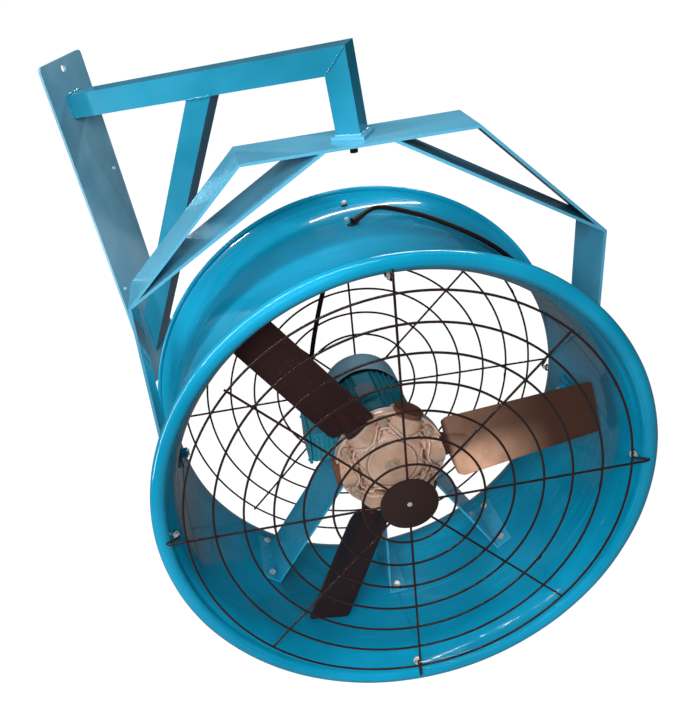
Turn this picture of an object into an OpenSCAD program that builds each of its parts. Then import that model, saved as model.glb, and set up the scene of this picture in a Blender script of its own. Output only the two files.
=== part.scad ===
// Wall-mounted axial air mover: a steel bracket carries a swivelling yoke, and the
// yoke carries a tilting drum with a motor, a three-blade impeller and wire guards.
// Frame: centre of the wall plate's back face is the origin, +X leads out from the
// wall along the arm, +Z is up, and the drum's mouth looks towards -Y.

/* [Wall bracket] */
// height of the plate that bolts to the wall
plate_h = 790; // [500:5:1000]
// width of the wall plate
plate_w = 160; // [100:5:250]
// thickness of the wall plate
plate_t = 6; // [4:0.5:12]
// radius of the wall plate's corners
plate_corner = 10; // [2:1:30]
// distance from the plate's centre to the end holes
end_hole_z = 374; // [200:1:480]
// radius of the end holes
end_hole_r = 8; // [4:0.5:12]
// sideways offset of the staggered holes
side_hole_y = 58; // [20:1:100]
// height offset of the staggered holes
side_hole_z = 130; // [50:1:300]
// radius of the staggered holes
side_hole_r = 5.5; // [3:0.5:10]
// outside width of the square tubes
tube_w = 50; // [30:1:80]
// wall thickness of the square tubes
tube_wall = 3; // [2:0.5:6]
// height of the arm's centre line above the origin
arm_z = 297; // [150:1:400]
// distance from the wall to the swivel pivot
reach = 631; // [400:1:900]
// height of the swivel pivot above the origin
pivot_z = 147; // [50:1:260]
// distance along the arm to the brace's near corner
brace_top = 297; // [150:1:450]
// distance below the origin of the brace's upper end on the plate
brace_foot = 226; // [100:1:320]
// width of the square pivot flange
flange_w = 68; // [50:1:120]
// thickness of the pivot flange
flange_t = 7; // [4:0.5:12]

/* [Yoke] */
// pan of the yoke about the swivel in the stored position
pan = 28.8; // [-180:0.1:180]
// lean of the swivel axis out of upright
lean = 6.25; // [-10:0.05:10]
// width of the yoke's flat bar
bar_w = 140; // [60:1:200]
// thickness of the yoke's flat bar
bar_t = 6; // [3:0.5:10]
// half length of the yoke's top plate
yoke_top = 237.5; // [100:0.5:400]
// half width of the yoke over its arms
yoke_half = 506; // [300:1:700]
// drop from the top plate to the bends into the arms
shoulder_drop = 257; // [100:1:400]
// drop from the top plate to the tilt axis
axis_drop = 676.5; // [400:0.5:900]
// distance from the swivel axis to the gusset's upper end
gusset_in = 67; // [30:1:200]
// thickness of the gussets
gusset_t = 6; // [3:0.5:10]
// radius of the swivel and tilt bolts
pivot_r = 8; // [5:0.5:12]

/* [Drum] */
// nose-up tilt of the drum in the stored position
nose_up = 2.2; // [-30:0.1:30]
// inside radius of the drum's waist
drum_r = 475; // [300:1:700]
// thickness of the drum's sheet
sheet = 3; // [1.5:0.5:5]
// distance from the tilt axis forward to the start of the bell mouth
bell_h = 250; // [100:1:350]
// distance from the tilt axis forward to the lip's centre
lip_h = 321; // [150:1:450]
// section radius of the rolled lip
lip_r = 17; // [6:0.5:30]
// radius from the drum's axis to the lip's section centre
lip_ring_r = 513; // [350:1:750]
// distance from the tilt axis back to the start of the rear flare
flare_h = 95; // [30:1:200]
// distance from the tilt axis back to the rear edge
rear_h = 179; // [80:1:300]
// inside radius of the rear edge
rear_r = 512; // [350:1:750]
// section radius of the rear edge's bead
bead_r = 4; // [2:0.5:8]

/* [Guards] */
// radius of the guard wire
wire_r = 2.5; // [1.5:0.1:4]
// radius of the innermost ring
ring_first = 97.2; // [60:0.1:150]
// spacing of the rings
ring_step = 61.1; // [30:0.1:90]
// number of rings in a guard
ring_count = 7; // [3:1:12]
// distance from the tilt axis forward to the front rings
front_h = 350; // [200:1:450]
// distance from the tilt axis back to the rear rings
back_h = 203.5; // [100:0.5:300]
// radius of the rear guard's innermost ring
back_first = 90; // [60:0.1:150]
// how far the rear guard hangs below the drum's axis
back_drop = 12.5; // [0:0.5:30]
// radius of the disc in the middle of the front guard
disc_r = 61; // [30:1:100]
// direction of the first spoke
spoke_a = 0.5; // [-20:0.5:20]

/* [Impeller] */
// radius to the blade tips
tip_r = 464; // [300:1:600]
// radius to the blade's broad part
root_r = 126; // [100:1:250]
// width of a blade at its root
chord_root = 126; // [60:1:200]
// width of a blade at its tip
chord_tip = 110; // [60:1:200]
// pitch of a blade at its root
pitch_root = 21; // [5:1:50]
// pitch of a blade at its tip
pitch_tip = 13; // [2:1:40]
// distance from the hub's parting plane forward to the blade's middle
blade_h = 12; // [0:1:20]
// thickness of a blade
blade_t = 5; // [2:0.5:10]
// radius of the hub
hub_r = 124; // [70:1:200]
// distance from the tilt axis forward to the hub's parting plane
hub_h = 168; // [100:1:250]
// direction of the first blade
blade_a = 7.1; // [-60:0.1:60]
// radius of the round pockets that hold the blade roots
pocket_r = 33; // [15:0.5:45]

/* [Motor] */
// radius of the motor's barrel
motor_r = 80; // [50:1:120]
// radius over the cooling fins
fin_r = 92; // [60:1:140]
// number of cooling fins
fin_count = 36; // [12:2:60]
// height of the shaft above the motor's feet
motor_rise = 90; // [60:1:140]
// radius of the motor's shaft
shaft_r = 12; // [8:0.5:20]
// outside radius of the fan cowl
cowl_r = 96; // [60:1:140]
// distance from the tilt axis back to the cowl's end
cowl_h = 192; // [100:1:260]
// directions of the bolts of the left, middle and right legs
leg_a = [229.8, 272, 308.6];

/* [Cord] */
// radius of the power cord
cord_r = 5.5; // [3:0.1:8]
// radius of the motor lead
lead_r = 5.5; // [3:0.1:8]
// mid-turn radius of the coil
coil_r = 60; // [40:1:120]

/* [Hidden] */
$fn = 96;

blue = [0.13, 0.58, 0.74];
teal = [0.05, 0.4, 0.5];
black = [0.05, 0.05, 0.05];
brown = [0.14, 0.1, 0.09];
alloy = [0.72, 0.68, 0.64];
zinc = [0.75, 0.75, 0.74];
iron = [0.35, 0.36, 0.37];

run = 0.05;    // clearance of a bolt that something turns on
gap = 0.3;     // space between faces that slide past each other
bell_arc = (pow(lip_h - bell_h, 2) + pow(lip_ring_r - lip_r - drum_r, 2))
    / (2 * (lip_ring_r - lip_r - drum_r));
flare_arc = (pow(rear_h - flare_h, 2) + pow(rear_r - drum_r, 2)) / (2 * (rear_r - drum_r));
bell_in = [drum_r + bell_arc, bell_h];
flare_in = [drum_r + flare_arc, -flare_h];
front_bolt_h = 312;
rear_bolt_h = -150;
front_bolt_r = bell_in[0] - sqrt(pow(bell_arc, 2) - pow(front_bolt_h - bell_h, 2));
rear_bolt_r = flare_in[0] - sqrt(pow(flare_arc, 2) - pow(rear_bolt_h + flare_h, 2));
front_bolt_a = asin((front_bolt_h - bell_h) / bell_arc);
rear_bolt_a = -asin((-rear_bolt_h - flare_h) / flare_arc);
spoke_h = front_h - 2 * wire_r;
back_spoke_h = back_h - 2 * wire_r;
base_z = -motor_rise;
foot_x = 70;
foot_y1 = -45;
foot_y2 = 55;
leg_bolt_y1 = -62;
leg_bolt_y2 = 70;
leg_t = 5;
leg_gap = 1;       // space between a leg's foot and the drum's wall
foot_w = 22;       // reach of a foot on each side of its bolts
back_dirs = [-2, 44, 90.3, 135, 181.5, 225.5, 270.3, 315]; // rear spokes; each second is bolted

// route of the power cord over the drum's waist, from the grommet to the coil
cord_route = [[-5, 35, 484.6], [3.3, 40.2, 486.8], [11.5, 45.4, 489], [19.8, 50.6, 491.1],
    [35.9, 62.8, 494.4], [52, 76.6, 493.9], [74.9, 90.3, 487.7], [102.5, 96.4, 477.8],
    [134.1, 92.1, 466.6], [172, 76.7, 453.6], [232.5, 49.4, 424.8], [288.6, 41.4, 389],
    [343.7, 49.8, 341.2], [393, 64, 283], [436, 82, 211], [467, 92, 128], [482, 94, 44],
    [482, 88, -48], [468, 75, -122], [455, 61, -170], [440, 52, -208]];
// route of the motor's lead from the grommet to the terminal box
lead_route = [[-5, 40, 468], [-12, 38, 455], [-34, 34, 428], [-60, 30, 396], [-82, 24, 352],
    [-104, 17, 290], [-126, 8, 215], [-138, 0, 150], [-138, -6, 90], [-138, -8, 46]];
// route of the cord's end beside the coil, from the coil to the plug
tail_route = [[71, -44, 0.5], [71, -50, -1.2], [71, -56, -2.4], [71, -62, -3]];

module on_pivot() {
  translate([reach, 0, pivot_z]) rotate([0, lean, pan]) children();
}
module in_drum() {
  on_pivot() translate([0, 0, -axis_drop]) rotate([-nose_up, 0, 0]) children();
}
// a shape turned about the drum's axis; its second coordinate points to the mouth
module turned(n = 180) {
  rotate([90, 0, 0]) rotate_extrude($fn = n) children();
}
// local x becomes the direction at angle a seen from the mouth's axis
module at_angle(a) {
  rotate([0, -a, 0]) children();
}
module side_plate(depth) {
  rotate([90, 0, 0]) linear_extrude(depth, center = true) children();
}
module along_x() {
  rotate([0, 90, 0]) children();
}
// a cylinder along the drum's axis from h1 to h2, both measured towards the mouth
module barrel(r, h1, h2, n = 96) {
  translate([0, -h1, 0]) rotate([90, 0, 0]) cylinder(r = r, h = h2 - h1, $fn = n);
}
module hex(af, h) {
  cylinder(r = af / 2 / cos(30), h = h, $fn = 6);
}
module rod(p, q, r) {
  d = q - p;
  translate(p) rotate([0, atan2(norm([d[0], d[1]]), d[2]), atan2(d[1], d[0])])
    cylinder(r = r, h = norm(d), $fn = 24);
}
module tube_box(size, wall) {
  difference() {
    square([size, size], center = true);
    square([size - 2 * wall, size - 2 * wall], center = true);
  }
}

// ---------- swept cords ----------
function unit(v) = v / norm(v);
function curve(p, i, t) = let (a = p[max(i - 1, 0)], b = p[i], c = p[i + 1],
    d = p[min(i + 2, len(p) - 1)])
    0.5 * ((2 * b) + (c - a) * t + (2 * a - 5 * b + 4 * c - d) * t * t
    + (3 * b - a - 3 * c + d) * t * t * t);
function smooth(p, k) = [for (i = [0 : len(p) - 2]) for (j = [0 : k - 1]) curve(p, i, j / k),
    p[len(p) - 1]];
module sweep(p, r, k, sides = 10) {
  s = smooth(p, k);
  n = len(s);
  pts = [for (i = [0 : n - 1]) let (t = unit(s[min(i + 1, n - 1)] - s[max(i - 1, 0)]),
      u = unit(cross(t, [0, 1, 0.2])), v = cross(t, u))
      for (j = [0 : sides - 1]) s[i] + r * (cos(j * 360 / sides) * u + sin(j * 360 / sides) * v)];
  walls = [for (i = [0 : n - 2]) for (j = [0 : sides - 1]) let (m = (j + 1) % sides)
      [i * sides + j, i * sides + m, (i + 1) * sides + m, (i + 1) * sides + j]];
  head = [[for (j = [sides - 1 : -1 : 0]) j]];
  foot = [[for (j = [0 : sides - 1]) (n - 1) * sides + j]];
  polyhedron(points = pts, faces = concat(walls, head, foot));
}

// ---------- wall bracket ----------
module plate_outline() {
  w = plate_h / 2 - plate_corner;
  v = plate_w / 2 - plate_corner;
  square([plate_h - 2 * plate_corner, plate_w], center = true);
  square([plate_h, plate_w - 2 * plate_corner], center = true);
  for (x = [-w, w]) for (y = [-v, v]) translate([x, y]) circle(r = plate_corner, $fn = 48);
}
module wall_plate() {
  color(blue) difference() {
    rotate([0, -90, 0]) translate([0, 0, -plate_t]) linear_extrude(plate_t) plate_outline();
    for (z = [-end_hole_z, end_hole_z]) translate([-1, 0, z]) along_x()
      cylinder(r = end_hole_r, h = plate_t + 2, $fn = 48);
    translate([-1, side_hole_y, side_hole_z]) along_x()
      cylinder(r = side_hole_r, h = plate_t + 2, $fn = 48);
    translate([-1, -side_hole_y, -side_hole_z]) along_x()
      cylinder(r = side_hole_r, h = plate_t + 2, $fn = 48);
  }
}
arm_far = reach + tube_w / 2;
arm_hi = arm_z + tube_w / 2;
arm_lo = arm_z - tube_w / 2;
module arm_tube() {
  w = tube_wall;
  color(blue) difference() {
    side_plate(tube_w) polygon([[plate_t, arm_lo], [arm_far - tube_w, arm_lo],
      [arm_far, arm_hi], [plate_t, arm_hi]]);
    side_plate(tube_w - 2 * w) polygon([[plate_t - 1, arm_lo + w],
      [arm_far - tube_w + w, arm_lo + w], [arm_far - w, arm_hi - w],
      [plate_t - 1, arm_hi - w]]);
  }
}
module drop_tube() {
  w = tube_wall;
  color(blue) difference() {
    side_plate(tube_w) polygon([[arm_far - tube_w, arm_lo], [arm_far, arm_hi],
      [arm_far, pivot_z - 20], [arm_far - tube_w, pivot_z - 20]]);
    side_plate(tube_w - 2 * w) polygon([[arm_far - tube_w + w, arm_lo + w],
      [arm_far - w, arm_hi - w], [arm_far - w, pivot_z - 30],
      [arm_far - tube_w + w, pivot_z - 30]]);
    on_pivot() translate([-150, -150, -200 + gap + flange_t]) cube([300, 300, 200]);
  }
}
// the brace lies between its two edge lines, from the arm's underside to the plate
brace_a = atan2(brace_top - plate_t, arm_lo + brace_foot);
brace_v = tube_w / sin(brace_a);
brace_u = tube_w / cos(brace_a);
module brace_outline(w) {
  dx = w / cos(brace_a);
  dz = w / sin(brace_a);
  polygon([[brace_top + dx, arm_lo], [brace_top + brace_u - dx, arm_lo],
    [plate_t, -brace_foot - brace_v + dz], [plate_t, -brace_foot - dz]]);
}
module brace_tube() {
  color(blue) difference() {
    side_plate(tube_w) brace_outline(0);
    side_plate(tube_w - 2 * tube_wall) brace_outline(tube_wall);
  }
}
module pivot_flange() {
  color(blue) on_pivot() difference() {
    rotate([0, 0, -pan]) translate([-flange_w / 2, -flange_w / 2, gap])
      cube([flange_w, flange_w, flange_t]);
    translate([0, 0, -1]) cylinder(r = pivot_r + run, h = flange_t + 3);
  }
}
module pivot_bolt() {
  color(iron) on_pivot() {
    translate([0, 0, gap + flange_t]) hex(24, 10);
    translate([0, 0, -32]) cylinder(r = pivot_r, h = 32 + gap + flange_t + 1);
  }
}
module pivot_washer() {
  color(iron) on_pivot() translate([0, 0, -bar_t - gap - 3]) difference() {
    cylinder(r = 15, h = 3);
    translate([0, 0, -1]) cylinder(r = pivot_r + run, h = 5);
  }
}
module pivot_nut() {
  color(iron) on_pivot() translate([0, 0, -bar_t - gap - 16]) difference() {
    hex(24, 13);
    translate([0, 0, -1]) cylinder(r = pivot_r, h = 15);
  }
}

// ---------- yoke ----------
sx = yoke_half - yoke_top;
sl = norm([sx, shoulder_drop]);
// inside corners of the bar, where its thickness has been taken off
in_x = yoke_half - bar_t;
in_top = yoke_top - bar_t * (sl - sx) / shoulder_drop;
in_drop = bar_t + (in_x - in_top) * shoulder_drop / sx;
module yoke_bar() {
  color(blue) on_pivot() difference() {
    union() {
      side_plate(bar_w) polygon([[-yoke_half, -axis_drop], [-yoke_half, -shoulder_drop],
        [-yoke_top, 0], [yoke_top, 0], [yoke_half, -shoulder_drop], [yoke_half, -axis_drop],
        [in_x, -axis_drop], [in_x, -in_drop], [in_top, -bar_t], [-in_top, -bar_t],
        [-in_x, -in_drop], [-in_x, -axis_drop]]);
      for (x = [-yoke_half, in_x]) translate([x, 0, -axis_drop]) along_x()
        cylinder(r = bar_w / 2, h = bar_t);
    }
    translate([0, 0, -bar_t - 1]) cylinder(r = pivot_r + run, h = bar_t + 2);
    for (x = [-yoke_half - 1, in_x - 1]) translate([x, 0, -axis_drop]) along_x()
      cylinder(r = pivot_r + run, h = bar_t + 2);
  }
}
gl = norm([in_x - gusset_in, in_drop - bar_t]);
gux = (in_x - gusset_in) / gl;
guz = (in_drop - bar_t) / gl;
gtop = gusset_in + gusset_t / guz;
// distance along the gusset's upper face to the bar's inside face
gs = (in_top - gtop) / (gux - guz * sx / shoulder_drop);
module gusset() {
  side_plate(bar_w) polygon([[gusset_in, -bar_t], [gtop, -bar_t],
    [gtop + gs * gux, -bar_t - gs * guz], [in_x, -in_drop]]);
}
module gusset_left() {
  color(blue) on_pivot() mirror([1, 0, 0]) gusset();
}
module gusset_right() {
  color(blue) on_pivot() gusset();
}

// ---------- drum ----------
module lip_section() {
  translate([lip_ring_r, lip_h]) difference() {
    circle(r = lip_r, $fn = 64);
    circle(r = lip_r - sheet, $fn = 64);
    polygon([[0, 0], [-lip_r - 5, 0], [-lip_r - 5, -lip_r - 5], [lip_r + 1, -lip_r - 5]]);
  }
}
module bell_section() {
  intersection() {
    translate(bell_in) difference() {
      circle(r = bell_arc, $fn = 180);
      circle(r = bell_arc - sheet, $fn = 180);
    }
    translate([drum_r - 5, bell_h]) square([60, lip_h - bell_h]);
  }
  // bead that closes the joint between the bell and the lip
  translate([lip_ring_r - lip_r + 1.8, lip_h]) circle(r = 2.2, $fn = 32);
}
module flare_section() {
  intersection() {
    translate(flare_in) difference() {
      circle(r = flare_arc, $fn = 180);
      circle(r = flare_arc - sheet, $fn = 180);
    }
    translate([drum_r - 5, -rear_h]) square([60, rear_h - flare_h]);
  }
  translate([rear_r + 2, -rear_h]) circle(r = bead_r, $fn = 32);
}
module front_bolt_place() {
  translate([front_bolt_r, -front_bolt_h, 0]) rotate([0, 90, front_bolt_a]) children();
}
module rear_bolt_place() {
  translate([rear_bolt_r, -rear_bolt_h, 0]) rotate([0, 90, rear_bolt_a]) children();
}
module guard_bolt_places() {
  for (k = [0, 2, 4, 6]) {
    at_angle(45 * k + spoke_a) front_bolt_place() children();
    at_angle(back_dirs[k]) rear_bolt_place() children();
  }
}
module leg_bolt_places() {
  for (a = leg_a) for (y = [leg_bolt_y1, leg_bolt_y2])
    at_angle(a) translate([drum_r, y, 0]) along_x() children();
}
module drum_shell() {
  color(blue) in_drum() difference() {
    turned() {
      translate([drum_r, -flare_h]) square([sheet, flare_h + bell_h]);
      bell_section();
      lip_section();
      flare_section();
    }
    for (x = [-drum_r - 20, drum_r - 20]) translate([x, 0, 0]) along_x()
      cylinder(r = pivot_r, h = 40);
    translate([-5, 35, drum_r - 20]) cylinder(r = 9, h = 40);
    guard_bolt_places() translate([0, 0, -4]) cylinder(r = 3, h = 12, $fn = 32);
    leg_bolt_places() translate([0, 0, -10]) cylinder(r = 4, h = 20, $fn = 32);
    translate([-11, 76, drum_r - 10]) cylinder(r = 2.5, h = 20, $fn = 32);
  }
}
module both_sides() {
  children();
  mirror([1, 0, 0]) children();
}
module tilt_bosses() {
  color(blue) in_drum() difference() {
    both_sides() translate([drum_r - 20, 0, 0]) along_x()
      cylinder(r = 28, h = in_x - gap - drum_r + 20);
    turned() translate([0, -100]) square([drum_r + sheet, 200]);
    translate([-550, 0, 0]) along_x() cylinder(r = pivot_r, h = 1100);
  }
}
module tilt_bolts() {
  color(zinc) in_drum() both_sides() {
    translate([drum_r - 24, 0, 0]) along_x()
      cylinder(r = pivot_r, h = yoke_half - drum_r + 24 + gap + 3.5);
    translate([yoke_half + gap + 3, 0, 0]) along_x() hex(24, 10);
  }
}
module tilt_washers() {
  color(zinc) in_drum() both_sides() translate([yoke_half + gap, 0, 0]) along_x()
    difference() {
      cylinder(r = 15, h = 3);
      translate([0, 0, -1]) cylinder(r = pivot_r, h = 5);
    }
}
module tilt_nuts() {
  color(zinc) in_drum() both_sides() difference() {
    union() {
      translate([drum_r - 7, -25, -25]) cube([5, 50, 50]);
      translate([drum_r - 20, 0, 0]) along_x() hex(24, 13);
    }
    translate([drum_r - 30, 0, 0]) along_x() cylinder(r = pivot_r, h = 40);
  }
}

// ---------- guards ----------
module rings(first, h) {
  for (i = [0 : ring_count - 1]) turned()
    translate([first + i * ring_step, h]) circle(r = wire_r, $fn = 16);
}
ring_span = (ring_count - 1) * ring_step;
ring_last = ring_first + ring_span;
module front_guard_rings() {
  color(black) in_drum() rings(ring_first, front_h);
}
module rear_guard_rings() {
  color(black) in_drum() translate([0, 0, -back_drop]) rings(back_first, -back_h);
}
// a wire eye around a guard bolt, lying on the sheet
module eye() {
  translate([0, 0, -wire_r - 0.1]) rotate_extrude($fn = 48) translate([7, 0])
    circle(r = wire_r, $fn = 16);
}
// where a folded spoke meets its eye: along the sheet from the bolt towards the guard
function eye_end(r, h, a) = [r + 8.2 * sin(abs(a)) - 2.6 * cos(a), -h
    - sign(h) * (8.2 * cos(a) + 2.6 * sin(abs(a))), 0];
module front_guard_spokes() {
  color(black) in_drum() for (k = [0 : 7]) at_angle(45 * k + spoke_a) {
    far = k % 2 == 0 ? 499.6 : ring_last + 4;
    rod([34, -spoke_h, 0], [far + (k % 2 == 0 ? 3.2 : 0), -spoke_h, 0], wire_r);
    if (k % 2 == 0) {
      rod([far, -spoke_h, 0], eye_end(front_bolt_r, front_bolt_h, front_bolt_a), wire_r - 0.2);
      front_bolt_place() eye();
    }
  }
}
module rear_guard_spokes() {
  color(black) in_drum() for (k = [0 : 7]) {
    a = back_dirs[k];
    c = [0, back_spoke_h, -back_drop];
    far = k % 2 == 0 ? [500 * cos(a), back_spoke_h, 500 * sin(a)]
        : c + (back_first + ring_span + 4) * [cos(a), 0, sin(a)];
    rod(c + (back_first - 4) * unit(far - c), far + (k % 2 == 0 ? 3.2 : 0) * unit(far - c), wire_r);
    if (k % 2 == 0) at_angle(a) {
      rod([500, back_spoke_h, 0], eye_end(rear_bolt_r, rear_bolt_h, rear_bolt_a), wire_r - 0.2);
      rear_bolt_place() eye();
    }
  }
}
module front_guard_disc() {
  color(black) in_drum() {
    barrel(disc_r, spoke_h + wire_r, front_h + 0.5);
    barrel(5, spoke_h + wire_r, front_h + 2, 32);
  }
}
module guard_bolts() {
  color(zinc) in_drum() guard_bolt_places() {
    translate([0, 0, -12.6]) hex(10, 6.5);
    translate([0, 0, -7]) cylinder(r = 7, h = 1.8, $fn = 32);
    translate([0, 0, -12]) cylinder(r = 2.9, h = 24, $fn = 32);
    translate([0, 0, sheet + 0.4]) hex(10, 5);
  }
}

// ---------- motor support ----------
module feet_bolt_places() {
  for (x = [-foot_x, foot_x]) for (y = [foot_y1, foot_y2]) translate([x, y, base_z])
    children();
}
module motor_base() {
  color(blue) in_drum() difference() {
    translate([-95, -78, base_z - 5]) cube([190, 166, 5]);
    feet_bolt_places() translate([0, 0, -10]) cylinder(r = 4, h = 20, $fn = 32);
  }
}
// one folded leg: a shelf under the base, a web, and a foot on the drum's wall that turns
// outwards to side, with its bolts in direction a
module leg(a, knee_x, side) {
  c = [cos(a), sin(a)];
  e = side * [-sin(a), cos(a)];
  d = drum_r - leg_gap;
  knee = [knee_x, base_z - 5];
  heel = d * c - (foot_w - 2) * e;
  w = unit(heel - knee);
  n = side * [w[1], -w[0]] * leg_t;
  in = [-side * 35, 0];
  difference() {
    side_plate(170) polygon([knee + in, knee, heel - leg_t * w, (d - leg_t) * c + foot_w * e,
      d * c + foot_w * e, heel + n, knee + n - (leg_t + n[1]) / w[1] * w,
      knee + in - [0, leg_t]]);
    feet_bolt_places() translate([0, 0, -20]) cylinder(r = 4.5, h = 30, $fn = 32);
    for (y = [leg_bolt_y1, leg_bolt_y2]) at_angle(a) translate([drum_r - 20, y, 0]) along_x()
      cylinder(r = 4.5, h = 30, $fn = 32);
  }
}
module leg_left() {
  color(blue) in_drum() leg(leg_a[0], -90, -1);
}
module leg_middle() {
  color(blue) in_drum() leg(leg_a[1], -3.5, 1);
}
module leg_right() {
  color(blue) in_drum() leg(leg_a[2], 90, 1);
}
module leg_bolts() {
  color(zinc) in_drum() leg_bolt_places() {
    translate([0, 0, -leg_gap - leg_t - 7.4]) hex(13, 5.5);
    translate([0, 0, -leg_gap - leg_t - 1.9]) cylinder(r = 8.5, h = 1.6, $fn = 32);
    translate([0, 0, -leg_gap - leg_t - 7]) cylinder(r = 3.9, h = 24, $fn = 32);
    translate([0, 0, sheet + 0.4]) hex(13, 6.5);
  }
}
module motor_feet_bolts() {
  color(zinc) in_drum() feet_bolt_places() {
    translate([0, 0, 12]) hex(13, 5.5);
    translate([0, 0, -20]) cylinder(r = 4, h = 33, $fn = 32);
    translate([0, 0, -17]) hex(13, 6.5);
  }
}

// ---------- motor ----------
module motor_frame() {
  color(teal) in_drum() difference() {
    union() {
      barrel(motor_r + 3, -92, 80);
      for (k = [0 : fin_count - 1]) if (abs(k * 360 / fin_count - 270) > 38
        && abs(k * 360 / fin_count - 180) > 32 && abs(k * 360 / fin_count - 98) > 9)
        at_angle(k * 360 / fin_count) translate([motor_r, -76, -1.4])
          cube([fin_r - motor_r, 162, 2.8]);
      for (x = [-foot_x - 14, foot_x - 25]) translate([x, -62, base_z]) cube([39, 134, 12]);
      for (x = [-62, 46]) translate([x, -62, base_z + 10]) cube([16, 134, 40]);
      at_angle(97) translate([motor_r - 3, -30, -19]) cube([14, 110, 38]);
      translate([-96, -70, -55]) cube([24, 80, 90]);
    }
    barrel(motor_r, -93, 81);
    feet_bolt_places() translate([0, 0, -1]) cylinder(r = 4, h = 20, $fn = 32);
  }
}
module motor_shield_front() {
  color(teal) in_drum() difference() {
    turned(96) polygon([[0, 78], [motor_r, 78], [motor_r, 80], [motor_r + 6, 80],
      [motor_r + 6, 86], [motor_r - 6, 92], [44, 96], [30, 102], [0, 102]]);
    barrel(26, 70, 93);
    barrel(shaft_r + 1, 70, 110);
    turned(96) translate([34, 70]) square([motor_r - 40, 16]);
  }
}
module motor_shield_rear() {
  color(teal) in_drum() difference() {
    turned(96) polygon([[0, -91], [motor_r, -91], [motor_r, -92], [motor_r + 5, -92],
      [motor_r + 5, -98], [40, -104], [30, -112], [0, -112]]);
    barrel(26, -107, -80);
    barrel(shaft_r + 1, -120, -80);
  }
}
module stator() {
  color(iron) in_drum() difference() {
    barrel(motor_r, -55, 45);
    barrel(45.5, -56, 46);
  }
}
module motor_bearings() {
  color(zinc) in_drum() difference() {
    union() {
      barrel(26, 78, 93);
      barrel(26, -107, -92);
    }
    barrel(shaft_r + run, -120, 120);
  }
}
module fan_cowl() {
  color(blue) in_drum() difference() {
    barrel(cowl_r, -cowl_h, -94);
    barrel(cowl_r - 1.5, -cowl_h + 1.5, -90);
    for (k = [0 : 5]) for (r = [24, 40, 56, 72]) intersection() {
      turned(96) translate([r, -cowl_h - 1]) square([8, 4]);
      at_angle(60 * k) translate([0, cowl_h - 5, 5]) rotate([-90, 0, 0])
        linear_extrude(20) polygon([[0, 0], [170, 0], [85, -147], [0, 0]]);
    }
  }
}
module terminal_box() {
  color(teal) in_drum() difference() {
    translate([-164, -85, -72]) cube([68, 110, 112]);
    translate([-170, -80, -67]) cube([68, 100, 102]);
    translate([-138, -8, 20]) cylinder(r = lead_r + 0.5, h = 30, $fn = 32);
  }
}
module terminal_lid() {
  color(teal) in_drum() {
    translate([-172, -87, -74]) cube([8, 114, 116]);
    for (y = [-79, 19]) for (z = [-66, 34]) translate([-174, y, z]) along_x()
      cylinder(r = 4, h = 3, $fn = 32);
  }
}
module motor_lead() {
  color(black) in_drum() sweep(lead_route, lead_r - 0.2, 4);
}

// ---------- fittings on the drum ----------
module cord_grommet() {
  color(black) in_drum() translate([-5, 35, 0]) difference() {
    union() {
      translate([0, 0, drum_r - 4]) cylinder(r = 8.8, h = 9.2, $fn = 48);
      translate([0, 0, drum_r + sheet + 0.3]) cylinder(r = 13, h = 1.9, $fn = 48);
      translate([0, 0, drum_r - 5]) cylinder(r = 12, h = 4, $fn = 48);
    }
    translate([0, 0, drum_r - 20]) cylinder(r = cord_r + 1.5, h = 50, $fn = 48);
  }
}
module drum_screw() {
  color(zinc) in_drum() translate([-11, 76, 0]) {
    translate([0, 0, drum_r - 6]) cylinder(r = 2.4, h = 14, $fn = 32);
    translate([0, 0, drum_r + sheet]) cylinder(r = 5, h = 3, $fn = 32);
  }
}
// the coil lies on the waist, below and behind the right-hand arm, three turns wide and
// two deep
coil_a = -31;
coil_w = 6 * cord_r;
module at_coil() {
  in_drum() at_angle(coil_a) translate([drum_r + sheet + 12, -20, 0]) along_x() children();
}
module power_cord() {
  color(black) in_drum() sweep(cord_route, cord_r, 4);
}
module cord_coil() {
  color(black) at_coil() rotate_extrude($fn = 96) translate([coil_r, 0]) {
    square([coil_w - 2 * cord_r, 4 * cord_r], center = true);
    square([coil_w, 2 * cord_r], center = true);
    for (x = [-1, 1]) for (y = [-cord_r, cord_r]) translate([x * (coil_w / 2 - cord_r), y])
      circle(r = cord_r, $fn = 32);
  }
}
module cord_tie() {
  color(black) at_coil() translate([-coil_r, 0, 0]) difference() {
    cube([coil_w + 3.6, 10, 4 * cord_r + 2.4], center = true);
    cube([coil_w + 1, 12, 4 * cord_r + 0.6], center = true);
  }
}
module cord_tail() {
  color(black) at_coil() sweep(tail_route, cord_r, 4);
}
module plug() {
  color(black) at_coil() translate([71, -62, -3]) rotate([90, 0, 0]) {
    translate([0, 0, 1]) cylinder(r = 8, h = 12, $fn = 48);
    translate([0, 0, 13]) cylinder(r = 14, h = 30, $fn = 48);
    for (x = [-7, 7]) translate([x, 0, 43]) cylinder(r = 2.4, h = 19, $fn = 32);
  }
}

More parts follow.
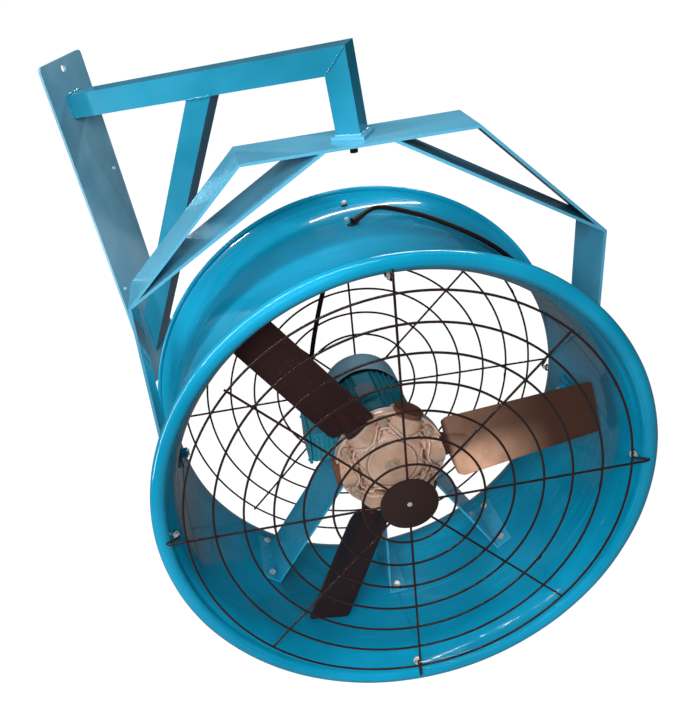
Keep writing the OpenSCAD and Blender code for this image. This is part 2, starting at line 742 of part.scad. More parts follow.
// ---------- impeller ----------
module hub_bolt_places(r = 106) {
  for (k = [0 : 5]) at_angle(blade_a + 30 + 60 * k) translate([r, 0, 0]) children();
}
module pockets(r, n = 64) {
  for (k = [0 : 5]) at_angle(blade_a + 60 * k) translate([86, -hub_h, 0]) along_x()
    rotate([0, 0, 17]) cylinder(r = r, h = 60, $fn = n);
}
module arches() {
  for (k = [0 : 5]) at_angle(blade_a + 60 * k) translate([74, -hub_h, 0]) along_x()
    rotate([0, 0, 29]) cylinder(r = pocket_r + 8, h = 43, $fn = 64);
}
module hub_front() {
  color(alloy) in_drum() difference() {
    union() {
      barrel(hub_r, hub_h, hub_h + 12);
      barrel(70, hub_h, hub_h + 26);
      arches();
      hub_bolt_places() barrel(10, hub_h, hub_h + 22, 32);
    }
    translate([-200, -hub_h, -200]) cube([400, 100, 400]);
    pockets(pocket_r);
    barrel(shaft_r, hub_h - 1, hub_h + 30);
    hub_bolt_places() barrel(4, hub_h - 1, hub_h + 30, 32);
    turned(96) translate([54, hub_h + 24]) square([8, 6]);
  }
}
module hub_rear() {
  color(alloy) in_drum() difference() {
    union() {
      barrel(hub_r, hub_h - 12, hub_h);
      barrel(60, hub_h - 22, hub_h);
      barrel(26, hub_h - 48, hub_h);
      arches();
    }
    translate([-200, -hub_h - 100, -200]) cube([400, 100, 400]);
    pockets(pocket_r);
    barrel(shaft_r, hub_h - 60, hub_h + 1);
    hub_bolt_places() barrel(4, hub_h - 50, hub_h + 1, 32);
  }
}
module hub_bolts() {
  color(zinc) in_drum() hub_bolt_places() {
    barrel(7, hub_h + 22, hub_h + 28, 6);
    barrel(4, hub_h - 22, hub_h + 23, 32);
    barrel(7, hub_h - 20, hub_h - 12, 6);
  }
}
module blade_section() {
  polygon([[-0.5, -0.3], [-0.3, -0.5], [0, -0.42], [0.3, -0.3], [0.5, -0.15], [0.5, 0.15],
    [0.3, 0.4], [0, 0.62], [-0.3, 0.6], [-0.5, 0.2]]);
}
// the paddle grows along the blade's own axis and untwists towards the tip; a round neck
// joins it to the root that the hub clamps
module blade(a) {
  color(brown) in_drum() at_angle(a) translate([0, -hub_h, 0]) {
    translate([88, 0, 0]) along_x() cylinder(r = pocket_r - run, h = root_r - 84, $fn = 64);
    translate([root_r, -blade_h, 0]) rotate([90, 0, 90]) rotate([0, 0, 90 - pitch_root])
      linear_extrude(tip_r - root_r, $fn = 8, twist = pitch_tip - pitch_root, slices = 12,
        scale = [chord_tip / chord_root, 1]) scale([chord_root, blade_t]) blade_section();
  }
}
module blade_1() {
  blade(blade_a);
}
module blade_2() {
  blade(blade_a + 120);
}
module blade_3() {
  blade(blade_a + 240);
}
module pocket_blanks() {
  color(brown) in_drum() for (k = [1, 3, 5]) at_angle(blade_a + 60 * k)
    translate([88, -hub_h, 0]) along_x() cylinder(r = pocket_r - run, h = 40, $fn = 64);
}
module centre_bolt() {
  color(zinc) in_drum() {
    barrel(19, hub_h + 26, hub_h + 29, 48);
    barrel(9.8, hub_h + 28, hub_h + 35, 6);
  }
}
module shaft() {
  color(zinc) in_drum() barrel(shaft_r, -150, hub_h + 26);
}
module rotor() {
  color(iron) in_drum() difference() {
    barrel(45, -55, 45);
    barrel(shaft_r, -56, 46);
  }
}
module cooling_fan() {
  color(black) in_drum() difference() {
    union() {
      barrel(22, -146, -122);
      barrel(82, -128, -125);
      for (k = [0 : 7]) at_angle(45 * k) translate([20, 126, -1.5]) cube([60, 20, 3]);
    }
    barrel(shaft_r, -150, -120);
  }
}

wall_plate();
arm_tube();
drop_tube();
brace_tube();
pivot_flange();
pivot_bolt();
pivot_washer();
pivot_nut();
yoke_bar();
gusset_left();
gusset_right();
drum_shell();
tilt_bosses();
tilt_bolts();
tilt_washers();
tilt_nuts();
front_guard_rings();
front_guard_spokes();
front_guard_disc();
guard_bolts();
rear_guard_rings();
rear_guard_spokes();
motor_base();
leg_left();
leg_middle();
leg_right();
leg_bolts();
motor_feet_bolts();
motor_frame();
motor_shield_front();
motor_shield_rear();
stator();
motor_bearings();
fan_cowl();
terminal_box();
terminal_lid();
motor_lead();
cord_grommet();
drum_screw();
power_cord();
cord_coil();
cord_tie();
cord_tail();
plug();
hub_front();
hub_rear();
blade_1();
blade_2();
blade_3();
pocket_blanks();
hub_bolts();
centre_bolt();
shaft();
rotor();
cooling_fan();
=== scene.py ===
"""Looks of a wall-mounted axial air mover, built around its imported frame.

Sizes are in millimetres until a piece is made, then in metres in the frame's axes:
+X leads out from the wall, +Z is up, and the drum's mouth looks towards -Y.
"""

from math import asin, atan2, ceil, cos, degrees, hypot, pi, radians, sin, sqrt

import bpy
from mathutils import Matrix, Vector, noise


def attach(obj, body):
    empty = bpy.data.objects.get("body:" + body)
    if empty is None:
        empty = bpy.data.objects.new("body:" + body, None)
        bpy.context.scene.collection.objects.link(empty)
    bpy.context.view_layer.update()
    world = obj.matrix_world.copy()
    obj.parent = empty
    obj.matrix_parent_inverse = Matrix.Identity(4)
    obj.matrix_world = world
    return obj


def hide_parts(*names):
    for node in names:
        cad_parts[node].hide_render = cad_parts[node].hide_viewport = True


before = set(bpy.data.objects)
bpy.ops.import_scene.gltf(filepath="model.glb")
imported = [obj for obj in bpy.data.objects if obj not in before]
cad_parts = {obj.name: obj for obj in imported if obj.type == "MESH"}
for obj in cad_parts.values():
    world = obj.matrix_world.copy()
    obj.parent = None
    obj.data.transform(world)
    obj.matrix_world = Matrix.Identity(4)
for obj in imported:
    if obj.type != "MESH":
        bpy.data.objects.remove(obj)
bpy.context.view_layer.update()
# without a seed, noise_vector would follow the clock
noise.seed_set(1)

MM = 0.001
TURN = 2 * pi

# ---------------------------------------------------------------- places
# how the yoke is panned and leans and how far the mouth is tipped up, in degrees
PAN, LEAN, NOSE_UP = 28.8, 6.25, 2.2
PIVOT = (631, 0, 147)
# from the pivot down to the drum's axis
AXIS_DROP = 676.5
WALL = Matrix.Identity(4)
YOKE = (
    Matrix.Translation(Vector(PIVOT) * MM)
    @ Matrix.Rotation(radians(PAN), 4, "Z")
    @ Matrix.Rotation(radians(LEAN), 4, "Y")
)
DRUM = (
    YOKE
    @ Matrix.Translation((0, 0, -AXIS_DROP * MM))
    @ Matrix.Rotation(radians(-NOSE_UP), 4, "X")
)
# x to the right of the mouth, y up, z forward out of the mouth
MOUTH = DRUM @ Matrix.Rotation(radians(90), 4, "X")


def turn_x(angle):
    return Matrix.Rotation(radians(angle), 4, "X")


def turn_y(angle):
    return Matrix.Rotation(radians(angle), 4, "Y")


def turn_z(angle):
    return Matrix.Rotation(radians(angle), 4, "Z")


def shift(x, y, z):
    return Matrix.Translation((x, y, z))


# ---------------------------------------------------------------- camera
CAMERA_AT = Vector((1.22964, -1.60440, 0.61234))
SENSOR, LENS = 36, 42.05
FRAMING_X, FRAMING_Y = 0.122361, 0.082847


def make_camera():
    """The camera stands above and in front of the mouth, turned a little on its side."""
    yaw, pitch, roll = 0.55426, 0.5550, 0.28547
    right, down, look = Vector((1, 0, 0)), Vector((0, 0, -1)), Vector((0, 1, 0))
    spin = Matrix.Rotation(yaw, 3, "Z")
    right, look = spin @ right, spin @ look
    look, down = look * cos(pitch) + down * sin(pitch), down * cos(pitch) - look * sin(pitch)
    right, down = right * cos(roll) + down * sin(roll), down * cos(roll) - right * sin(roll)
    data = bpy.data.cameras.new("camera")
    camera = bpy.data.objects.new("camera", data)
    bpy.context.scene.collection.objects.link(camera)
    matrix = Matrix((right, -down, -look)).transposed().to_4x4()
    matrix.translation = CAMERA_AT
    camera.matrix_world = matrix
    data.sensor_width, data.lens = SENSOR, LENS
    data.shift_x, data.shift_y = FRAMING_X, FRAMING_Y
    data.clip_start, data.clip_end = 0.05, 60
    bpy.context.scene.camera = camera


make_camera()


# ---------------------------------------------------------------- forms
class Shape:
    """Faces gathered in millimetres, to become one piece."""

    def __init__(self):
        self.points, self.faces = [], []

    def add(self, form, place=None):
        points, faces = form
        start = len(self.points)
        self.points += [place @ Vector(p) if place else Vector(p) for p in points]
        self.faces += [[i + start for i in face] for face in faces]
        return self

    def piece(self, name, place, body, slot, finish, smooth=35, stands_for=()):
        mesh = bpy.data.meshes.new(name)
        mesh.from_pydata([place @ (p * MM) for p in self.points], [], self.faces)
        mesh.validate()
        obj = bpy.data.objects.new(name, mesh)
        bpy.context.scene.collection.objects.link(obj)
        mesh.materials.append(finish)
        mesh.shade_smooth()
        mesh.set_sharp_from_angle(angle=radians(smooth))
        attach(obj, body)
        if stands_for:
            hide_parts(*stands_for)
        return obj


def turned(profile, steps=96, ring=True):
    """A profile of (radius, z) points turned about z; ring closes the profile."""
    points = []
    for i in range(steps):
        a = radians(360 * i / steps)
        points += [(r * cos(a), r * sin(a), z) for r, z in profile]
    n = len(profile)
    faces = []
    for i in range(steps):
        a, b = i * n, ((i + 1) % steps) * n
        for j in range(n if ring else n - 1):
            k = (j + 1) % n
            faces.append([a + j, b + j, b + k, a + k])
    return points, faces


def arc(cx, cy, r, a0, a1, steps):
    """Points on a circle round (cx, cy), from a0 to a1 degrees."""
    return [
        (
            cx + r * cos(radians(a0 + (a1 - a0) * i / steps)),
            cy + r * sin(radians(a0 + (a1 - a0) * i / steps)),
        )
        for i in range(steps + 1)
    ]


def cupped(profile, steps=96):
    """A profile turned about z whose first and last points are on the axis."""
    inner = profile[1:-1]
    points, faces = turned(inner, steps, ring=False)
    n = len(inner)
    points = list(points) + [(0, 0, profile[0][1]), (0, 0, profile[-1][1])]
    first, last = len(points) - 2, len(points) - 1
    for i in range(steps):
        k = (i + 1) % steps
        faces.append([first, k * n, i * n])
        faces.append([last, i * n + n - 1, k * n + n - 1])
    return points, faces


def outset(line, thick):
    """A closed outline, thick mm wide, round an open line of (x, y) points."""
    left, right = [], []
    for i, (x, y) in enumerate(line):
        x0, y0 = line[max(i - 1, 0)]
        x1, y1 = line[min(i + 1, len(line) - 1)]
        d = hypot(x1 - x0, y1 - y0) or 1
        nx, ny = -(y1 - y0) / d * thick / 2, (x1 - x0) / d * thick / 2
        left.append((x + nx, y + ny))
        right.append((x - nx, y - ny))
    return left + right[::-1]


def tube(path, radius, sides=12, closed=False):
    """A round bar along path; radius may be a number or one number per point."""
    path = [Vector(p) for p in path]
    n = len(path)
    radii = radius if isinstance(radius, (list, tuple)) else [radius] * n
    ways = []
    for i in range(n):
        if closed:
            ways.append((path[(i + 1) % n] - path[i - 1]).normalized())
        else:
            ways.append((path[min(i + 1, n - 1)] - path[max(i - 1, 0)]).normalized())
    side = ways[0].orthogonal().normalized()
    points = []
    for p, way, r in zip(path, ways, radii):
        side = (side - way * side.dot(way)).normalized()
        across = way.cross(side)
        for j in range(sides):
            a = TURN * j / sides
            points.append(p + (side * cos(a) + across * sin(a)) * r)
    faces = []
    for i in range(n if closed else n - 1):
        a, b = i * sides, ((i + 1) % n) * sides
        for j in range(sides):
            k = (j + 1) % sides
            faces.append([a + j, a + k, b + k, b + j])
    if not closed:
        faces.append(list(range(sides))[::-1])
        faces.append([(n - 1) * sides + j for j in range(sides)])
    return points, faces


def prism(outline, z0, z1):
    """An outline of (x, y) points raised from z0 to z1."""
    n = len(outline)
    points = [(x, y, z0) for x, y in outline] + [(x, y, z1) for x, y in outline]
    faces = [[i, (i + 1) % n, n + (i + 1) % n, n + i] for i in range(n)]
    return points, faces + [list(range(n))[::-1], list(range(n, 2 * n))]


def block(x0, x1, y0, y1, z0, z1):
    return prism([(x0, y0), (x1, y0), (x1, y1), (x0, y1)], z0, z1)


def nut_head(across, high):
    """A six-sided head with its corners taken off at the top."""
    r = across / 2 / cos(pi / 6)
    rows = [(r * 0.97, 0), (r, high * 0.06), (r, high * 0.88), (r * 0.86, high)]
    points = [
        (q * cos(TURN * j / 6), q * sin(TURN * j / 6), z) for q, z in rows for j in range(6)
    ]
    faces = [
        [6 * i + j, 6 * i + (j + 1) % 6, 6 * i + 6 + (j + 1) % 6, 6 * i + 6 + j]
        for i in range(3)
        for j in range(6)
    ]
    return points, faces + [[5, 4, 3, 2, 1, 0], [18, 19, 20, 21, 22, 23]]


def washer(inner, outer, z0, z1):
    """A flat ring with small chamfers on its outer corners."""
    lip = min(0.4, (z1 - z0) / 3)
    return turned(
        [(inner, z0), (outer - lip, z0), (outer, z0 + lip), (outer, z1 - lip), (outer - lip, z1),
         (inner, z1)],
        40,
    )


def stud(radius, z0, z1):
    """A bolt's shank end with a small chamfer at z1."""
    return cupped([(0, z0), (radius, z0), (radius, z1 - 1), (radius - 1, z1), (0, z1)], 24)


def bolt_set(shape, place, thread, across, head, plate, far=None):
    """Head and washer at z = 0 looking along +z; far is how deep the nut sits."""
    shape.add(washer(thread * 0.5, across * 0.95, 0, plate), place)
    shape.add(nut_head(across, head), place @ shift(0, 0, plate))
    if far is not None:
        nut, proud = across * 0.8, 1.5
        shape.add(stud(thread / 2, 0.5, far + nut + proud), place @ turn_x(180))
        shape.add(nut_head(across, nut), place @ turn_x(180) @ shift(0, 0, far))


def smooth_line(points, steps):
    """Points of a smooth curve that passes through every given point."""
    points = [Vector(p) for p in points]
    out = []
    for i in range(len(points) - 1):
        a, b = points[max(i - 1, 0)], points[i]
        c, d = points[i + 1], points[min(i + 2, len(points) - 1)]
        for k in range(steps):
            t = k / steps
            out.append(
                (
                    b * 2
                    + (c - a) * t
                    + (a * 2 - b * 5 + c * 4 - d) * t * t
                    + (b * 3 - a - c * 3 + d) * t * t * t
                )
                / 2
            )
    return out + [points[-1]]


def length_of(points):
    """The length of a line of points."""
    return sum((b - a).length for a, b in zip(points, points[1:]))


# ---------------------------------------------------------------- finishes
class Wire:
    """One shader value. Sums on it add Math nodes to its finish."""

    def __init__(self, finish, socket):
        self.finish, self.socket = finish, socket

    def __add__(self, other):
        return self.finish.maths("ADD", self, other)

    __radd__ = __add__

    def __sub__(self, other):
        return self.finish.maths("SUBTRACT", self, other)

    def __rsub__(self, other):
        return self.finish.maths("SUBTRACT", other, self)

    def __mul__(self, other):
        return self.finish.maths("MULTIPLY", self, other)

    __rmul__ = __mul__

    def between(self, low, high):
        """0 below low, 1 above high, and a smooth step between them."""
        return self.finish.add(
            "ShaderNodeMapRange",
            {"interpolation_type": "SMOOTHSTEP"},
            {"Value": self, "From Min": low, "From Max": high},
            "Result",
        )


class Finish:
    """A material made of shader nodes, placed by the frame's own axes in metres."""

    def __init__(self, name):
        self.material = bpy.data.materials.new(name)
        self.material.use_nodes = True
        self.tree = self.material.node_tree
        self.tree.nodes.clear()
        self.place = self.add("ShaderNodeTexCoord", out="Object")

    def add(self, kind, settings=None, values=None, out=0):
        """A node of one kind; settings go first, then its sockets' values or links."""
        node = self.tree.nodes.new(kind)
        for key, value in (settings or {}).items():
            setattr(node, key, value)
        for key, value in (values or {}).items():
            if isinstance(value, Wire):
                self.tree.links.new(value.socket, node.inputs[key])
            else:
                node.inputs[key].default_value = value
        return Wire(self, node.outputs[out]) if len(node.outputs) else node

    def maths(self, operation, a, b):
        return self.add("ShaderNodeMath", {"operation": operation}, {0: a, 1: b})

    def noise(self, scale, detail=3, rough=0.5, at=None):
        return self.add(
            "ShaderNodeTexNoise",
            None,
            {"Vector": at or self.place, "Scale": scale, "Detail": detail, "Roughness": rough},
            "Fac",
        )

    def mix(self, share, a, b):
        """Colour a where share is 0, colour b where it is 1."""
        a = a if isinstance(a, Wire) else (*a, 1)
        b = b if isinstance(b, Wire) else (*b, 1)
        return self.add("ShaderNodeMix", {"data_type": "RGBA"}, {0: share, 6: a, 7: b}, 2)

    def stretched(self, x, y, z):
        """The place, scaled along the frame's axes."""
        return self.add(
            "ShaderNodeVectorMath", {"operation": "MULTIPLY"}, {0: self.place, 1: (x, y, z)}
        )

    def dot(self, a, b):
        return self.add(
            "ShaderNodeVectorMath", {"operation": "DOT_PRODUCT"}, {0: a, 1: b}, "Value"
        )

    def scuffs(self):
        """Fine streaks that handling leaves on a moulded face."""
        return self.noise(90, 5, 0.7, self.stretched(1, 0.35, 1.6)).between(0.6, 0.75)

    def bump(self, height, depth):
        """Small relief; depth is the height of its steps in metres."""
        values = {"Height": height, "Distance": depth, "Strength": 0.3}
        return self.add("ShaderNodeBump", None, values, "Normal")

    def edge(self, width):
        """1 on sharp edges within width metres of them, 0 on flat faces."""
        round_normal = self.add("ShaderNodeBevel", {"samples": 4}, {"Radius": width})
        flat = self.add("ShaderNodeNewGeometry", out="Normal")
        return 1 - self.dot(round_normal, flat)

    def surface(self, **sockets):
        """Ends the finish in one shader; names use _ for spaces."""
        values = {
            key.replace("_", " "): (*value, 1) if isinstance(value, tuple) else value
            for key, value in sockets.items()
        }
        shader = self.add("ShaderNodeBsdfPrincipled", None, values)
        self.add("ShaderNodeOutputMaterial", None, {"Surface": shader})
        return self.material


# the axis that the drum was spun about, out of the mouth
SPIN = DRUM.to_3x3() @ Vector((0, -1, 0))


def paint(name, colour, dust=0.0, gloss=0.16, dust_colour=(0.16, 0.22, 0.26), chips=0.35,
          rings=0.0, shine=0.25):
    """Sprayed gloss paint: soft tone changes, fine ripple, dust film and worn edges."""
    f = Finish(name)
    deep = tuple(c * 0.66 for c in colour)
    pale = tuple(min(1, c * 1.12 + 0.002) for c in colour)
    tone = f.mix(f.noise(2.2, 4).between(0.3, 0.7), deep, pale)
    clouds = f.noise(4.5, 5, 0.6)
    dust_and_painted_light = clouds.between(0.35, 0.8) * dust
    tone = f.mix(dust_and_painted_light, tone, dust_colour)
    worn = f.edge(0.0015).between(0.05, 0.35) * f.noise(55, 4, 0.65).between(0.52, 0.62) * chips
    tone = f.mix(worn, tone, (0.33, 0.36, 0.37))
    rough = f.noise(9, 4).between(0.3, 0.75) * 0.06 + dust_and_painted_light * 0.35 + gloss
    ripple = f.noise(38, 3) * 0.6 + f.noise(9, 2) - worn * 3
    if rings:
        # the fine grooves that spinning leaves, broken up by rubbed patches
        grooves = f.add("ShaderNodeTexNoise", {"noise_dimensions": "1D"},
                        {"W": f.dot(f.place, tuple(SPIN)), "Scale": 190, "Detail": 3},
                        "Fac").between(0.55, 0.72)
        rubbed = f.noise(7, 4, 0.6).between(0.45, 0.62)
        tone = f.mix(grooves * rubbed * rings, tone, (0.015, 0.38, 0.58))
        ripple = ripple + grooves * 0.5
    return f.surface(
        Base_Color=tone,
        Roughness=rough,
        Specular_IOR_Level=shine,
        Coat_Weight=0.6,
        Coat_Roughness=0.03,
        Normal=f.bump(ripple, 0.0007),
    )


def metal(name, colour, rough, grain=(1, 1, 1), tarnish=(0.3, 0.27, 0.24), metallic=1.0):
    """Bare metal with a fine grain, dull patches and small pits."""
    f = Finish(name)
    lines = f.noise(160, 4, 0.6, f.stretched(*grain))
    patches = f.noise(14, 5, 0.6).between(0.45, 0.75)
    tone = f.mix(lines.between(0.3, 0.7), tuple(c * 0.82 for c in colour), colour)
    tone = f.mix(patches * 0.35, tone, tarnish)
    pits = f.noise(500, 2).between(0.6, 0.8) * 0.3
    return f.surface(
        Base_Color=tone,
        Metallic=metallic - patches * 0.15,
        Roughness=lines * 0.15 + patches * 0.12 + rough,
        Normal=f.bump(lines + pits, 0.0004),
    )


def moulded(name, colour, rough, scuffs=0.3, scuff_colour=(0.2, 0.17, 0.15)):
    """Moulded plastic or rubber: a fine grain with pale scuffs."""
    f = Finish(name)
    tone = f.mix(f.noise(7, 4).between(0.3, 0.7), tuple(c * 0.8 for c in colour), colour)
    lines = f.scuffs()
    tone = f.mix(lines * scuffs, tone, scuff_colour)
    return f.surface(
        Base_Color=tone,
        Roughness=f.noise(20, 4) * 0.15 + lines * 0.1 + rough,
        Specular_IOR_Level=0.2,
        Normal=f.bump(f.noise(700, 2) + lines * 0.4, 0.0003),
    )


BLUE = (0.0006, 0.208, 0.352)
body_blue = paint("body_blue", BLUE, rings=0.35, shine=0.15, dust=0.02)
bracket_blue = paint("bracket_blue", (0.009, 0.165, 0.262), dust=0.05)
plate_blue = paint("plate_blue", (0.11, 0.29, 0.40), dust=0.6, gloss=0.36,
                   dust_colour=(0.28, 0.37, 0.42))
# the yoke's paler blue is partly painted sheen, standing in for the light its top faces reflect
yoke_blue = paint("yoke_blue", (0.06, 0.27, 0.40), dust=0.10, chips=0.6)
leg_blue = paint("leg_blue", (0.008, 0.24, 0.40), dust=0.22, gloss=0.22,
                 dust_colour=(0.20, 0.33, 0.40))
motor_teal = paint("motor_teal", (0.005, 0.155, 0.215), dust=0.08, gloss=0.26)
cowl_blue = paint("cowl_blue", (0.14, 0.29, 0.40), dust=0.25, gloss=0.40)
guard_black = paint("guard_black", (0.016, 0.007, 0.006), gloss=0.46,
                    dust_colour=(0.05, 0.03, 0.025), chips=0.1, shine=0.08)


def cast_alloy():
    """Polished casting, darker in its grooves, with a painted highlight where the form stands
    proud.
    """
    f = Finish("hub_alloy")
    form = f.add("ShaderNodeNewGeometry", out="Pointiness")
    tone = f.mix(f.noise(14, 5, 0.6).between(0.35, 0.65), (0.60, 0.37, 0.26), (0.74, 0.50, 0.38))
    # darker in the hollows of the cast form
    tone = f.mix((1 - form.between(0.43, 0.495)) * 0.85, tone, (0.10, 0.055, 0.04))
    # painted highlight: near-white on the proud ridges in place of their glints
    tone = f.mix(form.between(0.505, 0.56) * 0.6, tone, (1.0, 0.88, 0.80))
    return f.surface(
        Base_Color=tone,
        Metallic=0.55,
        Roughness=f.noise(20, 4) * 0.12 + 0.20,
        Normal=f.bump(f.noise(26, 3), 0.0006),
    )


hub_alloy = cast_alloy()
bright_zinc = metal("bright_zinc", (0.85, 0.83, 0.80), 0.25, metallic=0.8)
warm_zinc = metal("warm_zinc", (0.85, 0.66, 0.50), 0.30, metallic=0.8)
dark_steel = metal("dark_steel", (0.06, 0.06, 0.065), 0.42, tarnish=(0.10, 0.06, 0.05))
core_steel = metal("core_steel", (0.30, 0.30, 0.31), 0.45, grain=(1, 9, 1))
bare_plate = metal("bare_plate", (0.05, 0.09, 0.13), 0.40, metallic=0.3,
                   tarnish=(0.10, 0.13, 0.16))
blade_brown = moulded("blade_brown", (0.022, 0.009, 0.008), 0.42)
blank_brown = moulded("blank_brown", (0.10, 0.040, 0.025), 0.40)
cord_black = moulded("cord_black", (0.010, 0.005, 0.005), 0.40, scuffs=0.06)
plug_black = moulded("plug_black", (0.010, 0.010, 0.011), 0.45, scuffs=0.1)

NODES_OF = (
    (plate_blue, "wall_plate"),
    (bracket_blue, "arm_tube drop_tube brace_tube"),
    (yoke_blue, "pivot_flange yoke_bar gusset_left gusset_right"),
    (body_blue, "drum_shell tilt_bosses tilt_washers tilt_nuts"),
    (leg_blue, "motor_base leg_left leg_middle leg_right"),
    (cowl_blue, "fan_cowl"),
    (motor_teal, "motor_frame motor_shield_front motor_shield_rear terminal_box terminal_lid"),
    (guard_black, "front_guard_rings front_guard_spokes front_guard_disc"),
    (guard_black, "rear_guard_rings rear_guard_spokes"),
    (hub_alloy, "hub_front hub_rear"),
    (blade_brown, "blade_1 blade_2 blade_3"),
    (blank_brown, "pocket_blanks"),
    (bright_zinc, "tilt_bolts guard_bolts leg_bolts motor_feet_bolts motor_bearings"),
    (bright_zinc, "drum_screw hub_bolts centre_bolt"),
    (core_steel, "shaft stator rotor"),
    (dark_steel, "pivot_bolt pivot_washer pivot_nut"),
    (cord_black, "motor_lead cord_grommet power_cord cord_coil cord_tail"),
    (plug_black, "cord_tie plug cooling_fan"),
)
for finish, nodes in NODES_OF:
    for node in nodes.split():
        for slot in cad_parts[node].material_slots:
            slot.material = finish


def soften(width, *nodes):
    """Rounds a frame node's sharp edges by a modifier, width in millimetres."""
    for node in nodes:
        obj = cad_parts[node]
        edge = obj.modifiers.new("rounded_edges", "BEVEL")
        edge.width = width * MM
        edge.segments = 3
        edge.limit_method = "ANGLE"
        edge.angle_limit = radians(40)
        edge.harden_normals = True


soften(4, "arm_tube", "brace_tube")
soften(3.5, "drop_tube")
soften(1, "wall_plate", "yoke_bar", "gusset_left", "gusset_right", "pivot_flange", "motor_base")

# ---------------------------------------------------------------- drum
# heights are measured from the drum's middle along its axis
DRUM_R, SHEET = 475, 3
BELL_H, LIP_H, LIP_R, LIP_RING_R = 250, 321, 17, 513
FLARE_H, REAR_H, REAR_R, REAR_BEAD_R = 95, 179, 512, 6
SEAM_AT, DRUM_STEPS = -88.5, 288
# the radii of the two curves that widen the straight waist
BELL_ARC = ((LIP_H - BELL_H) ** 2 + (LIP_RING_R - LIP_R - DRUM_R) ** 2) / (
    2 * (LIP_RING_R - LIP_R - DRUM_R)
)
FLARE_ARC = ((REAR_H - FLARE_H) ** 2 + (REAR_R - DRUM_R) ** 2) / (2 * (REAR_R - DRUM_R))


def around(angle):
    """Drum directions: 0 to the right of the mouth, 90 up."""
    return turn_y(-angle)


def drum_profile():
    """The sheet's middle line from the curled lip back to the rear edge, as (radius, z)."""
    r = BELL_ARC - SHEET / 2
    lip = arc(LIP_RING_R, LIP_H, LIP_R - SHEET / 2, -50, 180, 26)
    end = degrees(asin((LIP_H - BELL_H) / BELL_ARC))
    bell = arc(DRUM_R + BELL_ARC, BELL_H, r, 180 - end, 180, 12)[1:]
    waist = [(DRUM_R + SHEET / 2, BELL_H - (BELL_H + FLARE_H) * i / 10) for i in range(1, 10)]
    r = FLARE_ARC - SHEET / 2
    end = degrees(asin((REAR_H - FLARE_H) / FLARE_ARC))
    flare = arc(DRUM_R + FLARE_ARC, -FLARE_H, r, 180, 180 + end, 14)
    return lip + bell + waist + flare


def rolled_sheet(profile, steps):
    """Turned sheet with the slight waves that rolling and spinning leave."""
    points, faces = turned(profile, steps)
    out = []
    for x, y, z in points:
        spread = noise.noise(Vector((x, y, z)) * 0.006) * 0.9
        spread += noise.noise(Vector((x, y, z * 0.3)) * 0.02) * 0.25
        k = 1 + spread / hypot(x, y)
        out.append((x * k, y * k, z))
    return out, faces


def rear_bead():
    """The rear edge's rolled bead, a little outside the flare's end."""
    return turned([(REAR_R + 2 + REAR_BEAD_R * cos(TURN * i / 14),
                    -REAR_H + 2 + REAR_BEAD_R * sin(TURN * i / 14)) for i in range(14)],
                  DRUM_STEPS)


shell = Shape().add(rolled_sheet(outset(drum_profile(), SHEET), DRUM_STEPS)).add(rear_bead())
shell.piece("drum_skin", MOUTH, "drum", "blue_paint", body_blue, 50, ("drum_shell",))


def lumpy_bead(path, radius, seed=0.0):
    """A weld bead: overlapping ripples along a path of corners."""
    step = 2.2
    path = [Vector(p) for p in path]
    line = []
    for a, b in zip(path, path[1:]):
        n = max(2, ceil((b - a).length / step))
        line += [a.lerp(b, i / n) for i in range(n)]
    line.append(path[-1])
    radii, moved = [], []
    for i, p in enumerate(line):
        wobble = noise.noise(p * 0.11 + Vector((seed, 0, 0)))
        radii.append(radius * (1 + 0.16 * sin(i * 2.1) + 0.35 * wobble))
        moved.append(p + noise.noise_vector(p * 0.07 + Vector((0, seed, 0))) * radius * 0.3)
    radii[0] = radii[-1] = radius * 0.5
    return tube(moved, radii, 9)


# the drum is closed along its lowest side by a weld, outside and inside
seam = Shape()
for radius, bead_r, seed in ((DRUM_R + SHEET, 1.8, 0), (DRUM_R, 1.4, 4)):
    seam.add(lumpy_bead([(radius, 0, BELL_H - 5), (radius, 0, -FLARE_H + 5)], bead_r, seed),
             turn_z(SEAM_AT))
seam.piece("drum_seam", MOUTH, "drum", "blue_paint", body_blue, 60)

# ---------------------------------------------------------------- guards
WIRE_R = 2.5
RING_STEP, RING_COUNT = 61.1, 7
FRONT_H, BACK_H = 350, 203.5
SPOKE_H, BACK_SPOKE_H = FRONT_H - 2 * WIRE_R, BACK_H - 2 * WIRE_R
# the rear guard's rings sit a little below the drum's axis
BACK_DROP = 12.5
FRONT_FIRST, BACK_FIRST = 97.2, 90
# where the spokes begin, and the elbow where every other one turns back
SPOKE_START, BACK_SPOKE_START = 40, 86
ELBOW_R, BACK_ELBOW_R = 504, 500
EYE_R = 7
FRONT_DIRS = [45 * k + 0.5 for k in range(8)]
BACK_DIRS = [-2, 44, 90.3, 135, 181.5, 225.5, 270.3, 315]
# the guard bolts' places on the sheet, as radius, height and the sheet's slope there
FRONT_BOLT_H, REAR_BOLT_H = 312, -150
FRONT_BOLT = (
    DRUM_R + BELL_ARC - sqrt(BELL_ARC**2 - (FRONT_BOLT_H - BELL_H) ** 2),
    FRONT_BOLT_H,
    degrees(asin((FRONT_BOLT_H - BELL_H) / BELL_ARC)),
)
REAR_BOLT = (
    DRUM_R + FLARE_ARC - sqrt(FLARE_ARC**2 - (REAR_BOLT_H + FLARE_H) ** 2),
    REAR_BOLT_H,
    -degrees(asin((-REAR_BOLT_H - FLARE_H) / FLARE_ARC)),
)


